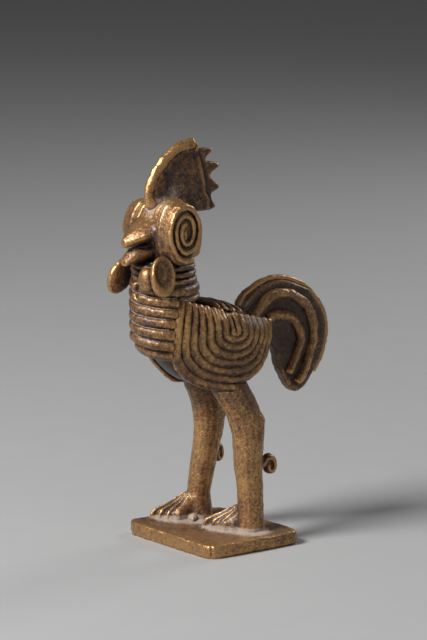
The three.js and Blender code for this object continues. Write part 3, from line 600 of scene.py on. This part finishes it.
def metal_of(bench, wear, shine, dirt_and_shade):
    """The metal's colour, from patina through golden brown to gold, with brown spots on it, and old dirt and
    painted shade in its hollows.
    """
    brass = chosen().brass
    warm = bench.ramp(wear, BROWN, GOLDEN)
    metal = bench.mix(warm, colour(brass.patina), colour(brass.bronze))
    metal = bench.mix(shine, metal, colour(brass.gold))
    spots = bench.ramp(bench.noise(2500, 2), 0.56, 0.66, 0.0, 0.65)
    metal = bench.mix(spots, metal, colour(brass.patina))
    return bench.mix(dirt_and_shade, metal, colour(brass.soot_and_shade))


def roughness_of(bench, shine, dirt_and_shade, dusty):
    """Smoother where hands rubbed the metal, rougher under clay and under the dirt of the hollows, whose
    mask also paints shade.
    """
    brass = chosen().brass
    rough = bench.ramp(shine, 0, 1, brass.patina_roughness, brass.rubbed_roughness)
    rough = bench.math("MULTIPLY_ADD", dirt_and_shade, 0.2, rough)
    return bench.math("MULTIPLY_ADD", dusty, 0.35, rough)


def metallic_of(bench, wear, dirt_and_shade, dusty):
    """Barer metal where it is worn, and less bare under clay and under the dirt and painted shade of the
    hollows.
    """
    metallic = bench.ramp(wear, BROWN, BRIGHT, 0.45, 0.8)
    metallic = bench.math("MULTIPLY_ADD", dirt_and_shade, -0.4, metallic)
    return bench.math("MULTIPLY_ADD", dusty, -0.7, metallic)


def pitted_normal(bench, grain, specks):
    """The pits and the grain of the cast skin."""
    pitted = bench.ramp(bench.cells(1500), 0.08, 0.34)
    relief = bench.math("MULTIPLY_ADD", pitted, 0.35, grain)
    relief = bench.math("MULTIPLY_ADD", specks, 0.5, relief)
    return bench.bump(relief, 0.8, 0.16 * MM)


def cast_brass(name, rubbed, dust, depth=1.0):
    """Brass as it came from the mould and was handled since.

    rubbed and dust shift how much of it is bright or dusty, and depth is how dark the dirt and painted shade
    in its hollows get."""
    found = bpy.data.materials.get(name)
    if found:
        return found
    bench = NodeBench(name)
    grain = bench.noise(1500, 4, 0.62)
    specks = bench.noise(3600, 3, 0.6)
    wear = wear_of(bench, grain, specks, rubbed)
    shine = bench.ramp(wear, GOLDEN, BRIGHT)
    # Painted shade in the hollows, together with the old dirt there
    dirt_and_shade = dirt_and_shade_of(bench, grain, depth)
    dusty = dust_of(bench, grain, specks, dust)
    metal = metal_of(bench, wear, shine, dirt_and_shade)
    shader = bench.lay("ShaderNodeBsdfPrincipled")
    for key, value in (
        ("Base Color", bench.mix(dusty, metal, colour(chosen().brass.residue))),
        ("Roughness", roughness_of(bench, shine, dirt_and_shade, dusty)),
        ("Metallic", metallic_of(bench, wear, dirt_and_shade, dusty)),
        ("Normal", pitted_normal(bench, grain, specks)),
        ("Coat Weight", 0.4),
        ("Coat Roughness", 0.3),
    ):
        bench.feed(shader.inputs[key], value)
    bench.feed(bench.lay("ShaderNodeOutputMaterial").inputs["Surface"], shader.outputs["BSDF"])
    return bench.material


def bright_brass():
    return cast_brass("bright cast brass", 0.16, 0.0)


def worn_brass():
    return cast_brass("worn cast brass", 0.1, 0.02)


def breast_brass():
    """Browner threads, less handled than the head."""
    return cast_brass("breast cast brass", -0.16, 0.02)


def wing_brass():
    """Darker threads, golden along their crests alone."""
    return cast_brass("wing cast brass", -0.02, 0.06)


def dark_brass():
    return cast_brass("dark cast brass", -0.3, 0.06)


def clay_crust():
    """Grey clay of the mould, rubbed through to the metal in places."""
    return cast_brass("clay crust on brass", -0.1, 0.5, 0.5)


# Operators, one for each group of pieces

class ROOSTER_OT_plate(Operator):
    """Lay the base plate, its top dished and its edges softened, and the lump of clay left on it"""

    bl_idname = "rooster.plate"
    bl_label = "Base plate"

    def execute(self, context):
        piece = hand_worked(as_piece(merged_shape("base_plate"), "cast_base_plate"), 0.95, 11, weld=0.2)
        shape_plate(piece)
        stand_in(piece, worn_brass(), "bright_brass", "base_plate")
        lump = hand_worked(clay_lump(), 0.6, 1, weld=0, lumps=2, skin=3)
        stand_in(lump, clay_crust(), "worn_brass")
        return {"FINISHED"}


def shape_plate(piece):
    """Gives the softened plate its size back, rounds its corners, dishes its top and flattens it below."""
    lowest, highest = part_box("base_plate")
    half = (highest - lowest) / 2
    dish = 0.6 * MM
    spread = 1.035
    squareness = 14

    def regain(points, normals):
        low, high = points.min(axis=0), points.max(axis=0)
        full = np.array(lowest) + (points - low) / (high - low) * np.array(highest - lowest)
        return full * (spread, spread, 1) - points

    def round_corners(points, normals):
        share = np.abs(points[:, :2]) / np.array((half.x, half.y)) / spread
        round_share = (share ** squareness).sum(axis=1) ** (1 / squareness)
        pull = share.max(axis=1) / np.maximum(round_share, 1e-6) - 1
        return points * (1, 1, 0) * pull[:, None]

    def sink(points, normals):
        inside = (1 - (points[:, 0] / half.x) ** 2) * (1 - (points[:, 1] / half.y) ** 2)
        share = smoothstep(0.0, 0.5, inside) * (normals[:, 2] > 0.5)
        return np.outer(-dish * share, (0, 0, 1))

    def flatten(points, normals):
        under = (normals[:, 2] < -0.6) | (points[:, 2] < lowest.z)
        return np.outer(np.where(under, lowest.z - points[:, 2], 0), (0, 0, 1))

    for rule in (regain, round_corners, sink, flatten):
        press(piece, rule)


def clay_lump():
    """A small lump of clay, of three balls run together."""
    shape = bmesh.new()
    for middle, radius in LUMP_BALLS:
        add_ball(shape, Vector(middle) * MM, Vector((1, 0.9, 0.9)) * radius * MM)
    return as_piece(shape, "clay_lump")


class ROOSTER_OT_body(Operator):
    """Work the egg of the body with its column for the neck"""

    bl_idname = "rooster.body"
    bl_label = "Body"

    def execute(self, context):
        cast_piece("body_core", dark_brass(), "dark_brass", grain=1.2, soften=5, weld=0.8)
        return {"FINISHED"}


class ROOSTER_OT_legs(Operator):
    """Work the legs with their feet in one, and the spurs that are smeared on behind"""

    bl_idname = "rooster.legs"
    bl_label = "Legs, feet and spurs"

    def execute(self, context):
        body = bpy.data.objects["cast_body_core"]
        plate = bpy.data.objects["cast_base_plate"]
        for side in OUTWARD:
            nodes = (f"leg_{side}", f"foot_{side}")
            leg = hand_worked(whole_leg(side), 0.8, 3, weld=0.5, fillet=12)
            groove_toes(leg, side)
            stand_in(leg, worn_brass(), "worn_brass", *nodes)
            bump_knee(leg, side)
            spur = hand_worked(whole_spur(side), 0.7, 2, weld=2.4)
            stand_in(spur, dark_brass(), "worn_brass", f"spur_{side}")
            flare(spur, [leg], 2.2 * MM, 0.9 * MM)
            flare(leg, [body], 2.4 * MM, 0.6 * MM)
            flare(plate, [leg], 3.2 * MM, 0.8 * MM)
        return {"FINISHED"}


def whole_leg(side):
    """A leg and its foot in one piece, with a core of wax across the gap between them."""
    shape = merged_shape(f"leg_{side}", f"foot_{side}")
    lowest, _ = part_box(f"leg_{side}")
    points, _ = points_of(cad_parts[f"leg_{side}"])
    ring = points[points[:, 2] < lowest.z + 0.02 * MM]
    middle = ring.mean(axis=0)
    radius = 0.97 * np.linalg.norm(ring - middle, axis=1).max()
    bmesh.ops.create_cone(
        shape, cap_ends=True, segments=32, radius1=radius, radius2=radius, depth=2.4 * MM,
        matrix=Matrix.Translation(Vector(middle)),
    )
    return as_piece(shape, f"cast_leg_{side}")


def whole_spur(side):
    """A spur's coil, with wax pressed into its eye."""
    shape = merged_shape(f"spur_{side}")
    lowest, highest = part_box(f"spur_{side}")
    half = (highest - lowest) / 2
    add_ball(shape, (lowest + highest) / 2, Vector((0.45 * half.x, 0.5 * half.y, 0.5 * half.z)))
    return as_piece(shape, f"cast_spur_{side}")


def groove_toes(leg, side):
    """Draws the grooves between the toes from the instep down to the plate."""
    ankle, turn, run = TOES[side]
    end = run * MM
    _, plate_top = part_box("base_plate")
    width = 0.5 * MM
    cut_depth = 0.45 * MM
    sink = 1.1 * MM

    def groove(points, normals):
        away = points[:, :2] - np.array(ankle) * MM
        reach = np.linalg.norm(away, axis=1)
        angle = np.degrees(np.arctan2(away[:, 0], -away[:, 1]))
        depth = np.zeros(len(points))
        for i in range(TOE_GROOVES):
            off = np.radians(angle - turn - TOE_FAN * (i + 0.5))
            along = reach * np.cos(off)
            cut = np.exp(-(reach * np.sin(off) / width) ** 2)
            cut *= smoothstep(4.2 * MM, 7 * MM, along) * (1 - smoothstep(end, end + 3 * MM, along))
            depth = np.maximum(depth, cut)
        depth *= smoothstep(plate_top.z + 0.2 * MM, plate_top.z + 1.2 * MM, points[:, 2])
        return -normals * (cut_depth * depth)[:, None]

    def settle(points, normals):
        low = 1 - smoothstep(plate_top.z + 0.5 * MM, plate_top.z + 2.5 * MM, points[:, 2])
        return np.outer(-sink * low, (0, 0, 1))

    press(leg, groove)
    press(leg, settle)


def bump_knee(leg, side):
    """Leaves the small ledge of wax behind the knee."""
    middle = (13 * OUTWARD[side], 13, 46)
    radii = (7, 5, 2.2)
    height = 0.85 * MM

    def swell(points, normals):
        off = (points / MM - np.array(middle)) / radii
        return normals * (height * np.exp(-(off * off).sum(axis=1)))[:, None]

    press(leg, swell)


class ROOSTER_OT_head(Operator):
    """Work the head with both halves of the beak in one"""

    bl_idname = "rooster.head"
    bl_label = "Head and beak"

    def execute(self, context):
        root_pull = 0.8 * MM
        cheek_out = 7 * MM
        cheek_radii = Vector((4.4, 7.8, 11.7)) * MM
        shape = merged_shape("head_core")
        for beak in ("beak_upper", "beak_lower"):
            lowest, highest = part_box(beak)
            known = set(shape.verts)
            shape.from_mesh(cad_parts[beak].data)
            for corner in (v for v in shape.verts if v not in known):
                corner.co.y += root_pull * (corner.co.y - lowest.y) / (highest.y - lowest.y)
        bmesh.ops.remove_doubles(shape, verts=shape.verts, dist=0.001 * MM)
        for side, outward in OUTWARD.items():
            lowest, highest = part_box(f"eye_drum_{side}")
            middle = (lowest + highest) / 2
            middle.x = cheek_out * outward
            add_ball(shape, middle, cheek_radii)
        head = hand_worked(as_piece(shape, "cast_head"), 0.85, 4, weld=0.8, fillet=26)
        stand_in(head, worn_brass(), "worn_brass", "head_core", "beak_upper", "beak_lower")
        return {"FINISHED"}


class ROOSTER_OT_threads(Operator):
    """Lay the threads of the breast, neck and back"""

    bl_idname = "rooster.threads"
    bl_label = "Breast, neck and back threads"

    def execute(self, context):
        axis = np.array((0, -22 * MM, 0))
        spread = 2.6
        depth = 0.9 * spread * chosen().casting.weld

        def inward(points):
            level = (axis - points) * (1, 1, 0)
            return level / np.linalg.norm(level, axis=1)[:, None]

        for i in range(1, 8):
            thread = cast_piece(
                f"breast_thread_{i}", breast_brass(), "bright_brass", soften=3, weld=spread, lumps=1.6
            )
            let_in(thread, depth, inward)
        for name in ("neck_thread_1", "neck_thread_2", "neck_thread_3", "nape_thread"):
            thread = cast_piece(name, dark_brass(), "worn_brass", soften=3, weld=2.2, lumps=1.3)
            let_in(thread, depth, inward)
        for i in range(1, 5):
            cast_piece(f"back_thread_{i}", dark_brass(), "worn_brass", soften=3, weld=2)
        return {"FINISHED"}


class ROOSTER_OT_wings(Operator):
    """Lay the wings: a panel each, and seven threads bent into nested U shapes"""

    bl_idname = "rooster.wings"
    bl_label = "Wings"

    def execute(self, context):
        spread = 3
        depth = 0.8 * spread * chosen().casting.weld
        for side, outward in OUTWARD.items():
            cast_piece(f"wing_panel_{side}", dark_brass(), "dark_brass", soften=4)
            for i in range(1, 8):
                name = f"wing_thread_{i}_{side}"
                thread = cast_piece(name, wing_brass(), "bright_brass", soften=4, weld=spread, lumps=1.4)
                let_in(thread, depth, lambda points: np.array((-outward, 0, 0)))
            heart = hand_worked(wing_heart(f"wing_heart_{side}", outward), 0.9, 3, weld=0.5)
            stand_in(heart, wing_brass(), "worn_brass")
        return {"FINISHED"}


def wing_heart(name, outward):
    """The smallest thread of a wing, bent double inside the first of the nested ones."""
    middle = Vector((0, -2.5, 80.9)) * MM
    bend = 1.45 * MM
    run = 6.2 * MM
    radius = 1.1 * MM
    shape = bmesh.new()
    ring = bmesh.ops.create_circle(shape, cap_ends=True, segments=12, radius=radius)["verts"]
    bmesh.ops.translate(shape, vec=middle + Vector((0, -bend, run)), verts=ring)
    front = list(shape.faces)
    moved = bmesh.ops.extrude_face_region(shape, geom=front)["geom"]
    bmesh.ops.translate(
        shape, vec=(0, 0, -run), verts=[v for v in moved if isinstance(v, bmesh.types.BMVert)]
    )
    low = [f for f in moved if isinstance(f, bmesh.types.BMFace)]
    spun = bmesh.ops.spin(
        shape, geom=low, cent=middle, axis=(1, 0, 0), angle=math.pi, steps=9, use_merge=False
    )["geom_last"]
    risen = bmesh.ops.extrude_face_region(
        shape, geom=[f for f in spun if isinstance(f, bmesh.types.BMFace)]
    )["geom"]
    bmesh.ops.translate(
        shape, vec=(0, 0, run), verts=[v for v in risen if isinstance(v, bmesh.types.BMVert)]
    )
    bmesh.ops.recalc_face_normals(shape, faces=shape.faces)
    piece = as_piece(shape, name)

    def follow(points, normals):
        fall = 3.2 * MM * np.clip((points[:, 2] - middle.z) / (7 * MM), 0, 1) ** 2
        return np.outer(outward * (16.2 * MM - fall), (1, 0, 0))

    press(piece, follow)
    return piece


class ROOSTER_OT_tail(Operator):
    """Work the arched tail, its raised rim and its ribs"""

    bl_idname = "rooster.tail"
    bl_label = "Tail"

    def execute(self, context):
        plate = cast_piece("tail_plate", dark_brass(), "dark_brass", soften=5, lumps=1.5)
        flare(plate, [bpy.data.objects["cast_body_core"]], 3 * MM, 1.2 * MM)
        cast_piece("tail_rim", bright_brass(), "bright_brass", soften=3, lumps=1.6)
        spread = 3
        depth = 0.9 * spread * chosen().casting.weld
        for side, outward in OUTWARD.items():
            for rib in ("outer", "inner"):
                piece = cast_piece(
                    f"tail_{rib}_rib_{side}", wing_brass(), "bright_brass", soften=6, weld=spread, lumps=1.6
                )
                let_in(piece, depth, lambda points: np.array((-outward, 0, 0)))
        return {"FINISHED"}


class ROOSTER_OT_eyes(Operator):
    """Work each eye: a drum with a coil on its face and a knob in the coil, and the thread behind it"""

    bl_idname = "rooster.eyes"
    bl_label = "Eyes"

    def execute(self, context):
        head = bpy.data.objects["cast_head"]
        for side, outward in OUTWARD.items():
            nodes = (f"eye_drum_{side}", f"eye_coil_{side}")
            eye = hand_worked(whole_eye(side, outward), 0.75, 3, weld=1, fillet=1)
            stand_in(eye, bright_brass(), "bright_brass", *nodes)
            flare(eye, [head], 3 * MM, 0.9 * MM)
            name = f"ear_thread_{side}"
            ear = cast_piece(name, worn_brass(), "worn_brass", grain=0.8, soften=3, weld=2.4)
            let_in(ear, EYE_SET_IN * MM, lambda points: np.array((-outward, -0.35, 0)))
            flare(ear, [head], 1.5 * MM, 0.5 * MM)
        return {"FINISHED"}


def whole_eye(side, outward):
    """An eye's coil, drawn out to the rim of its drum and sunk into the face, with a knob in its middle."""
    drum_low, drum_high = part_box(f"eye_drum_{side}")
    coil_low, coil_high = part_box(f"eye_coil_{side}")
    middle = (drum_low + drum_high) / 2
    face = drum_high.x if outward > 0 else drum_low.x
    rim_share = 0.97
    sunk = 0.8 * MM
    knob_out = 0.4 * MM
    knob_radii = Vector((1.3, 0.85, 2.1)) * MM
    shape = merged_shape(f"eye_coil_{side}")
    grow = Vector((
        1,
        rim_share * (drum_high.y - drum_low.y) / (coil_high.y - coil_low.y),
        rim_share * (drum_high.z - drum_low.z) / (coil_high.z - coil_low.z),
    ))
    coil_middle = (coil_low + coil_high) / 2
    bmesh.ops.translate(shape, vec=-coil_middle, verts=shape.verts)
    bmesh.ops.scale(shape, vec=grow, verts=shape.verts)
    bmesh.ops.translate(shape, vec=Vector((coil_middle.x, middle.y, middle.z)), verts=shape.verts)
    inner = [v for v in shape.verts if abs(v.co.x - face) < 0.5 * MM]
    bmesh.ops.translate(shape, vec=(-outward * sunk, 0, 0), verts=inner)
    shape.from_mesh(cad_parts[f"eye_drum_{side}"].data)
    bmesh.ops.remove_doubles(shape, verts=shape.verts, dist=0.001 * MM)
    add_ball(shape, Vector((face + outward * knob_out, middle.y, middle.z)), knob_radii)
    bmesh.ops.translate(shape, vec=(-outward * EYE_SET_IN * MM, 0, 0), verts=shape.verts)
    return as_piece(shape, f"cast_eye_{side}")


class ROOSTER_OT_wattles(Operator):
    """Work the wattles, dished with a raised rim, and the lobe between them"""

    bl_idname = "rooster.wattles"
    bl_label = "Wattles and throat lobe"

    def execute(self, context):
        for side, outward in OUTWARD.items():
            piece = cast_piece(f"wattle_{side}", worn_brass(), "bright_brass", grain=0.75, soften=5)
            lowest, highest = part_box(f"wattle_{side}")
            middle = (lowest + highest) / 2 + Vector((0, 0, 1.2 * MM))
            half = (highest - lowest) / 2
            depth = 0.95 * MM

            def dish(points, normals):
                off = (points[:, 1:] - (middle.y, middle.z)) / (half.y, half.z)
                share = 1 - smoothstep(0.25, 0.78, (off * off).sum(axis=1))
                share *= normals[:, 0] * outward > 0.4
                return np.outer(-outward * depth * share, (1, 0, 0))

            press(piece, dish)
            flare(piece, [bpy.data.objects["cast_head"]], 3 * MM, 0.7 * MM)
        lobe = cast_piece("throat_lobe", worn_brass(), "worn_brass", grain=0.8, soften=5, weld=2)
        flare(lobe, [bpy.data.objects["cast_neck_thread_2"]], 1.6 * MM, 0.7 * MM)
        return {"FINISHED"}


class ROOSTER_OT_comb(Operator):
    """Work the comb: a thin blade with leaf-like points and the thick thread down its front"""

    bl_idname = "rooster.comb"
    bl_label = "Comb"

    def execute(self, context):
        head = bpy.data.objects["cast_head"]
        blade = cast_piece(
            "comb_blade", dark_brass(), "dark_brass", grain=0.85, soften=4, lumps=1.4, skin=1.5
        )
        ridge = cast_piece("comb_ridge", bright_brass(), "bright_brass", soften=5, weld=2.2, lumps=1.8)
        press(blade, leaf_points)
        flare(blade, [head], 2.6 * MM, 0.8 * MM)
        flare(ridge, [head], 5 * MM, 1.3 * MM)
        return {"FINISHED"}


def leaf_points(points, normals):
    """Raises a band near the blade's back edge, with leaf-like points beyond it, and sinks two hollows."""
    band_heights = (127.2, 129.9, 133.6, 138, 141.7, 145)
    band_places = (-3.6, -5, -5.7, -6.6, -7.5, -8.6)
    facing = normals[:, 0]
    side = np.sign(facing) * smoothstep(0.25, 0.7, np.abs(facing))
    _, y, z = (points / MM).T
    off = y - np.interp(z, band_heights, band_places)
    band = 0.7 * np.exp(-(off / 0.9) ** 2)
    leaf = 0.45 * smoothstep(1.2, 3, off)
    pocket = 0.8 * np.exp(-((y + 8.4) / 1.0) ** 2 - ((z - 144.2) / 1.1) ** 2)
    trough = 0.45 * np.exp(-((off + 15.2) / 1.6) ** 2) * smoothstep(126, 130, z)
    return np.outer(side * (band + leaf - pocket - trough) * MM, (1, 0, 0))


class ROOSTER_OT_wear(Operator):
    """Work out where grooves gather dirt and painted shade, where hands rub edges and clay stays, and where
    light and shade are painted at listed places, for all pieces at once
    """

    bl_idname = "rooster.wear"
    bl_label = "Wear and dirt"

    def execute(self, context):
        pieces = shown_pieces()
        tree = tree_of(pieces)
        for piece in pieces:
            write_wear(piece, tree)
        return {"FINISHED"}


def sphere_directions(count):
    """Even directions all round, on a golden spiral."""
    i = np.arange(count) + 0.5
    z = 1 - 2 * i / count
    turn = math.pi * (1 + math.sqrt(5)) * i
    level = np.sqrt(1 - z * z)
    return np.stack([np.cos(turn) * level, np.sin(turn) * level, z], 1)


def marked(points, places):
    """How strongly each point is marked by the places near it."""
    total = np.zeros(len(points))
    for middle, radii, amount in places:
        off = (points / MM - np.array(middle)) / np.array(radii)
        total += amount * np.exp(-1.2 * (off * off).sum(axis=1))
    return total


def hollow_of(points, normals, tree):
    """How much of what each point looks at is the bird itself, nearer faces counting for more."""
    reach = 4.5 * MM
    lift = 0.06 * MM
    grazing = 0.12
    directions = sphere_directions(chosen().wear_rays)
    looks = [Vector(direction) for direction in directions]
    facing = normals @ directions.T
    hollow = np.zeros(len(points))
    for i, start in enumerate(points + normals * lift):
        shaded = seen = 0.0
        for j in np.flatnonzero(facing[i] > grazing):
            weight = facing[i, j]
            seen += weight
            hit = tree.ray_cast(start, looks[j], reach)
            if hit[0] is not None:
                shaded += weight * (1 - 0.6 * hit[3] / reach)
        hollow[i] = shaded / max(seen, 1e-6)
    return hollow


def bend_of(points, normals, pairs):
    """How far the surface bends away at each point, and below zero in a groove."""
    bend = np.einsum("ij,ij->i", points - neighbour_mean(points, pairs), normals)
    spacing = np.linalg.norm(points[pairs[:, 0]] - points[pairs[:, 1]], axis=1).mean()
    return bend / spacing ** 2 * 1.6 * MM


def evened(values, pairs, share, passes):
    """The values spread over their neighbours."""
    for _ in range(passes):
        values = (1 - share) * values + share * neighbour_mean(values, pairs)
    return values


def clay_of(points, normals, hollow):
    """How much clay stays at each point, in hollows that face up and at the places known for it."""
    upward = np.clip(normals[:, 2] * 0.6 + 0.4, 0, 1)
    clay = smoothstep(0.12, 0.5, hollow) * (1 - smoothstep(0.62, 0.9, hollow)) * upward
    return 0.65 * clay + marked(points, CLAY_PLACES)


def write_wear(piece, tree):
    """Stores how hollow, how edge-like, how clay-covered and how rubbed each point is; the rubbed values
    also paint light and shade at some places.
    """
    points, normals = points_of(piece)
    pairs = edge_pairs(piece.data)
    hollow = evened(hollow_of(points, normals, tree), pairs, 0.5, 2)
    bend = evened(bend_of(points, normals, pairs), pairs, 0.6, 5)
    for name, values in (
        ("hollow", hollow),
        ("edge", np.clip(bend, -1, 1)),
        ("clay", clay_of(points, normals, hollow)),
        ("rubbed", marked(points, WORN_AND_PAINTED_LIGHT_PLACES)),
    ):
        store = piece.data.attributes.new(name, "FLOAT", "POINT")
        store.data.foreach_set("value", values.astype(np.float32))


# Stage

def plain_material(name, base, roughness):
    """A matt, even material for the stage."""
    bench = NodeBench(name)
    shader = bench.lay("ShaderNodeBsdfPrincipled")
    speckle = bench.ramp(bench.noise(60, 2), 0.3, 0.7)
    shade = bench.mix(speckle, colour([v * 0.985 for v in base]), colour(base))
    bench.feed(shader.inputs["Base Color"], shade)
    bench.feed(shader.inputs["Roughness"], roughness)
    bench.feed(bench.lay("ShaderNodeOutputMaterial").inputs["Surface"], shader.outputs["BSDF"])
    return bench.material


def lamp(name, place, aim, size, power):
    """A soft square lamp that looks at the bird."""
    data = bpy.data.lights.new(name, "AREA")
    data.shape = "SQUARE"
    data.size = size
    data.energy = power
    made = bpy.data.objects.new(name, data)
    made.location = place
    made.rotation_euler = (Vector(aim) - Vector(place)).to_track_quat("-Z", "Y").to_euler()
    bpy.context.scene.collection.objects.link(made)


class ROOSTER_OT_stage(Operator):
    """Set the floor, the lamps, the world and the camera"""

    bl_idname = "rooster.stage"
    bl_label = "Stage"

    def execute(self, context):
        stage = chosen().stage
        back = Vector((
            math.sin(stage.azimuth) * math.cos(stage.elevation),
            -math.cos(stage.azimuth) * math.cos(stage.elevation),
            math.sin(stage.elevation),
        ))
        lay_floor(stage)
        set_camera(stage, back)
        set_lamps(stage, back)
        set_world(stage)
        context.scene.view_settings.view_transform = "Standard"
        return {"FINISHED"}


def lay_floor(stage):
    """A wide floor under the plate."""
    shape = bmesh.new()
    bmesh.ops.create_grid(shape, x_segments=1, y_segments=1, size=14)
    floor = as_piece(shape, "floor")
    floor.data.materials.append(plain_material("floor", stage.floor, 0.7))
    floor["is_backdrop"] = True


def set_camera(stage, back):
    """The camera, set back from its target."""
    data = bpy.data.cameras.new("camera")
    data.lens = stage.lens
    data.sensor_width = 36
    data.clip_end = 100
    camera = bpy.data.objects.new("camera", data)
    camera.location = Vector(stage.target) + back * stage.distance
    camera.rotation_euler = (-back).to_track_quat("-Z", "Y").to_euler()
    bpy.context.scene.collection.objects.link(camera)
    bpy.context.scene.camera = camera


def set_lamps(stage, back):
    """A strong lamp at the upper left, a weak one beside the camera and one behind the bird."""
    level = Vector((back.x, back.y, 0)).normalized()
    rightward = Vector((-level.y, level.x, 0))
    up = Vector((0, 0, 1))
    middle = Vector((0, 0, 80 * MM))
    for name, away, size, power in (
        ("key lamp", (-rightward * 0.72 + level * 0.5 + up * 0.75) * 1.1, 0.45, stage.key),
        ("fill lamp", (rightward * 0.9 + level * 0.7 + up * 0.35) * 1.2, 0.7, stage.fill),
        ("rim lamp", rightward * 0.75 - level * 0.8 + up * 0.6, 0.4, stage.rim),
    ):
        lamp(name, middle + away, middle, size, power)


def set_world(stage):
    """Faint white light from all round."""
    world = bpy.data.worlds.new("studio")
    world.use_nodes = True
    sky = world.node_tree.nodes["Background"]
    sky.inputs["Color"].default_value = (1, 1, 1, 1)
    sky.inputs["Strength"].default_value = stage.ambient
    bpy.context.scene.world = world


class ROOSTER_PT_panel(Panel):
    """The rooster's sizes and colours, and a button for each group of pieces"""

    bl_idname = "ROOSTER_PT_panel"
    bl_label = "Cast rooster"
    bl_space_type = "VIEW_3D"
    bl_region_type = "UI"
    bl_category = "Rooster"

    def draw(self, context):
        rooster = context.scene.rooster
        for group in (rooster.casting, rooster.brass, rooster.stage):
            box = self.layout.box()
            for key in group.__annotations__:
                box.prop(group, key)
        self.layout.prop(rooster, "wear_rays")
        for operator in PIECE_OPERATORS:
            self.layout.operator(operator.bl_idname)


PIECE_OPERATORS = (
    ROOSTER_OT_plate,
    ROOSTER_OT_body,
    ROOSTER_OT_legs,
    ROOSTER_OT_head,
    ROOSTER_OT_threads,
    ROOSTER_OT_wings,
    ROOSTER_OT_tail,
    ROOSTER_OT_eyes,
    ROOSTER_OT_wattles,
    ROOSTER_OT_comb,
    ROOSTER_OT_wear,
    ROOSTER_OT_stage,
)
SETTING_GROUPS = (RoosterCasting, RoosterBrass, RoosterStage, RoosterSettings)
ALL_CLASSES = (*SETTING_GROUPS, *PIECE_OPERATORS, ROOSTER_PT_panel)


def register():
    for each in ALL_CLASSES:
        bpy.utils.register_class(each)
    bpy.types.Scene.rooster = PointerProperty(type=RoosterSettings)


def unregister():
    del bpy.types.Scene.rooster
    for each in reversed(ALL_CLASSES):
        bpy.utils.unregister_class(each)


def main():
    register()
    for operator in PIECE_OPERATORS:
        family, name = operator.bl_idname.split(".")
        getattr(getattr(bpy.ops, family), name)()


if __name__ == "__main__":
    main()
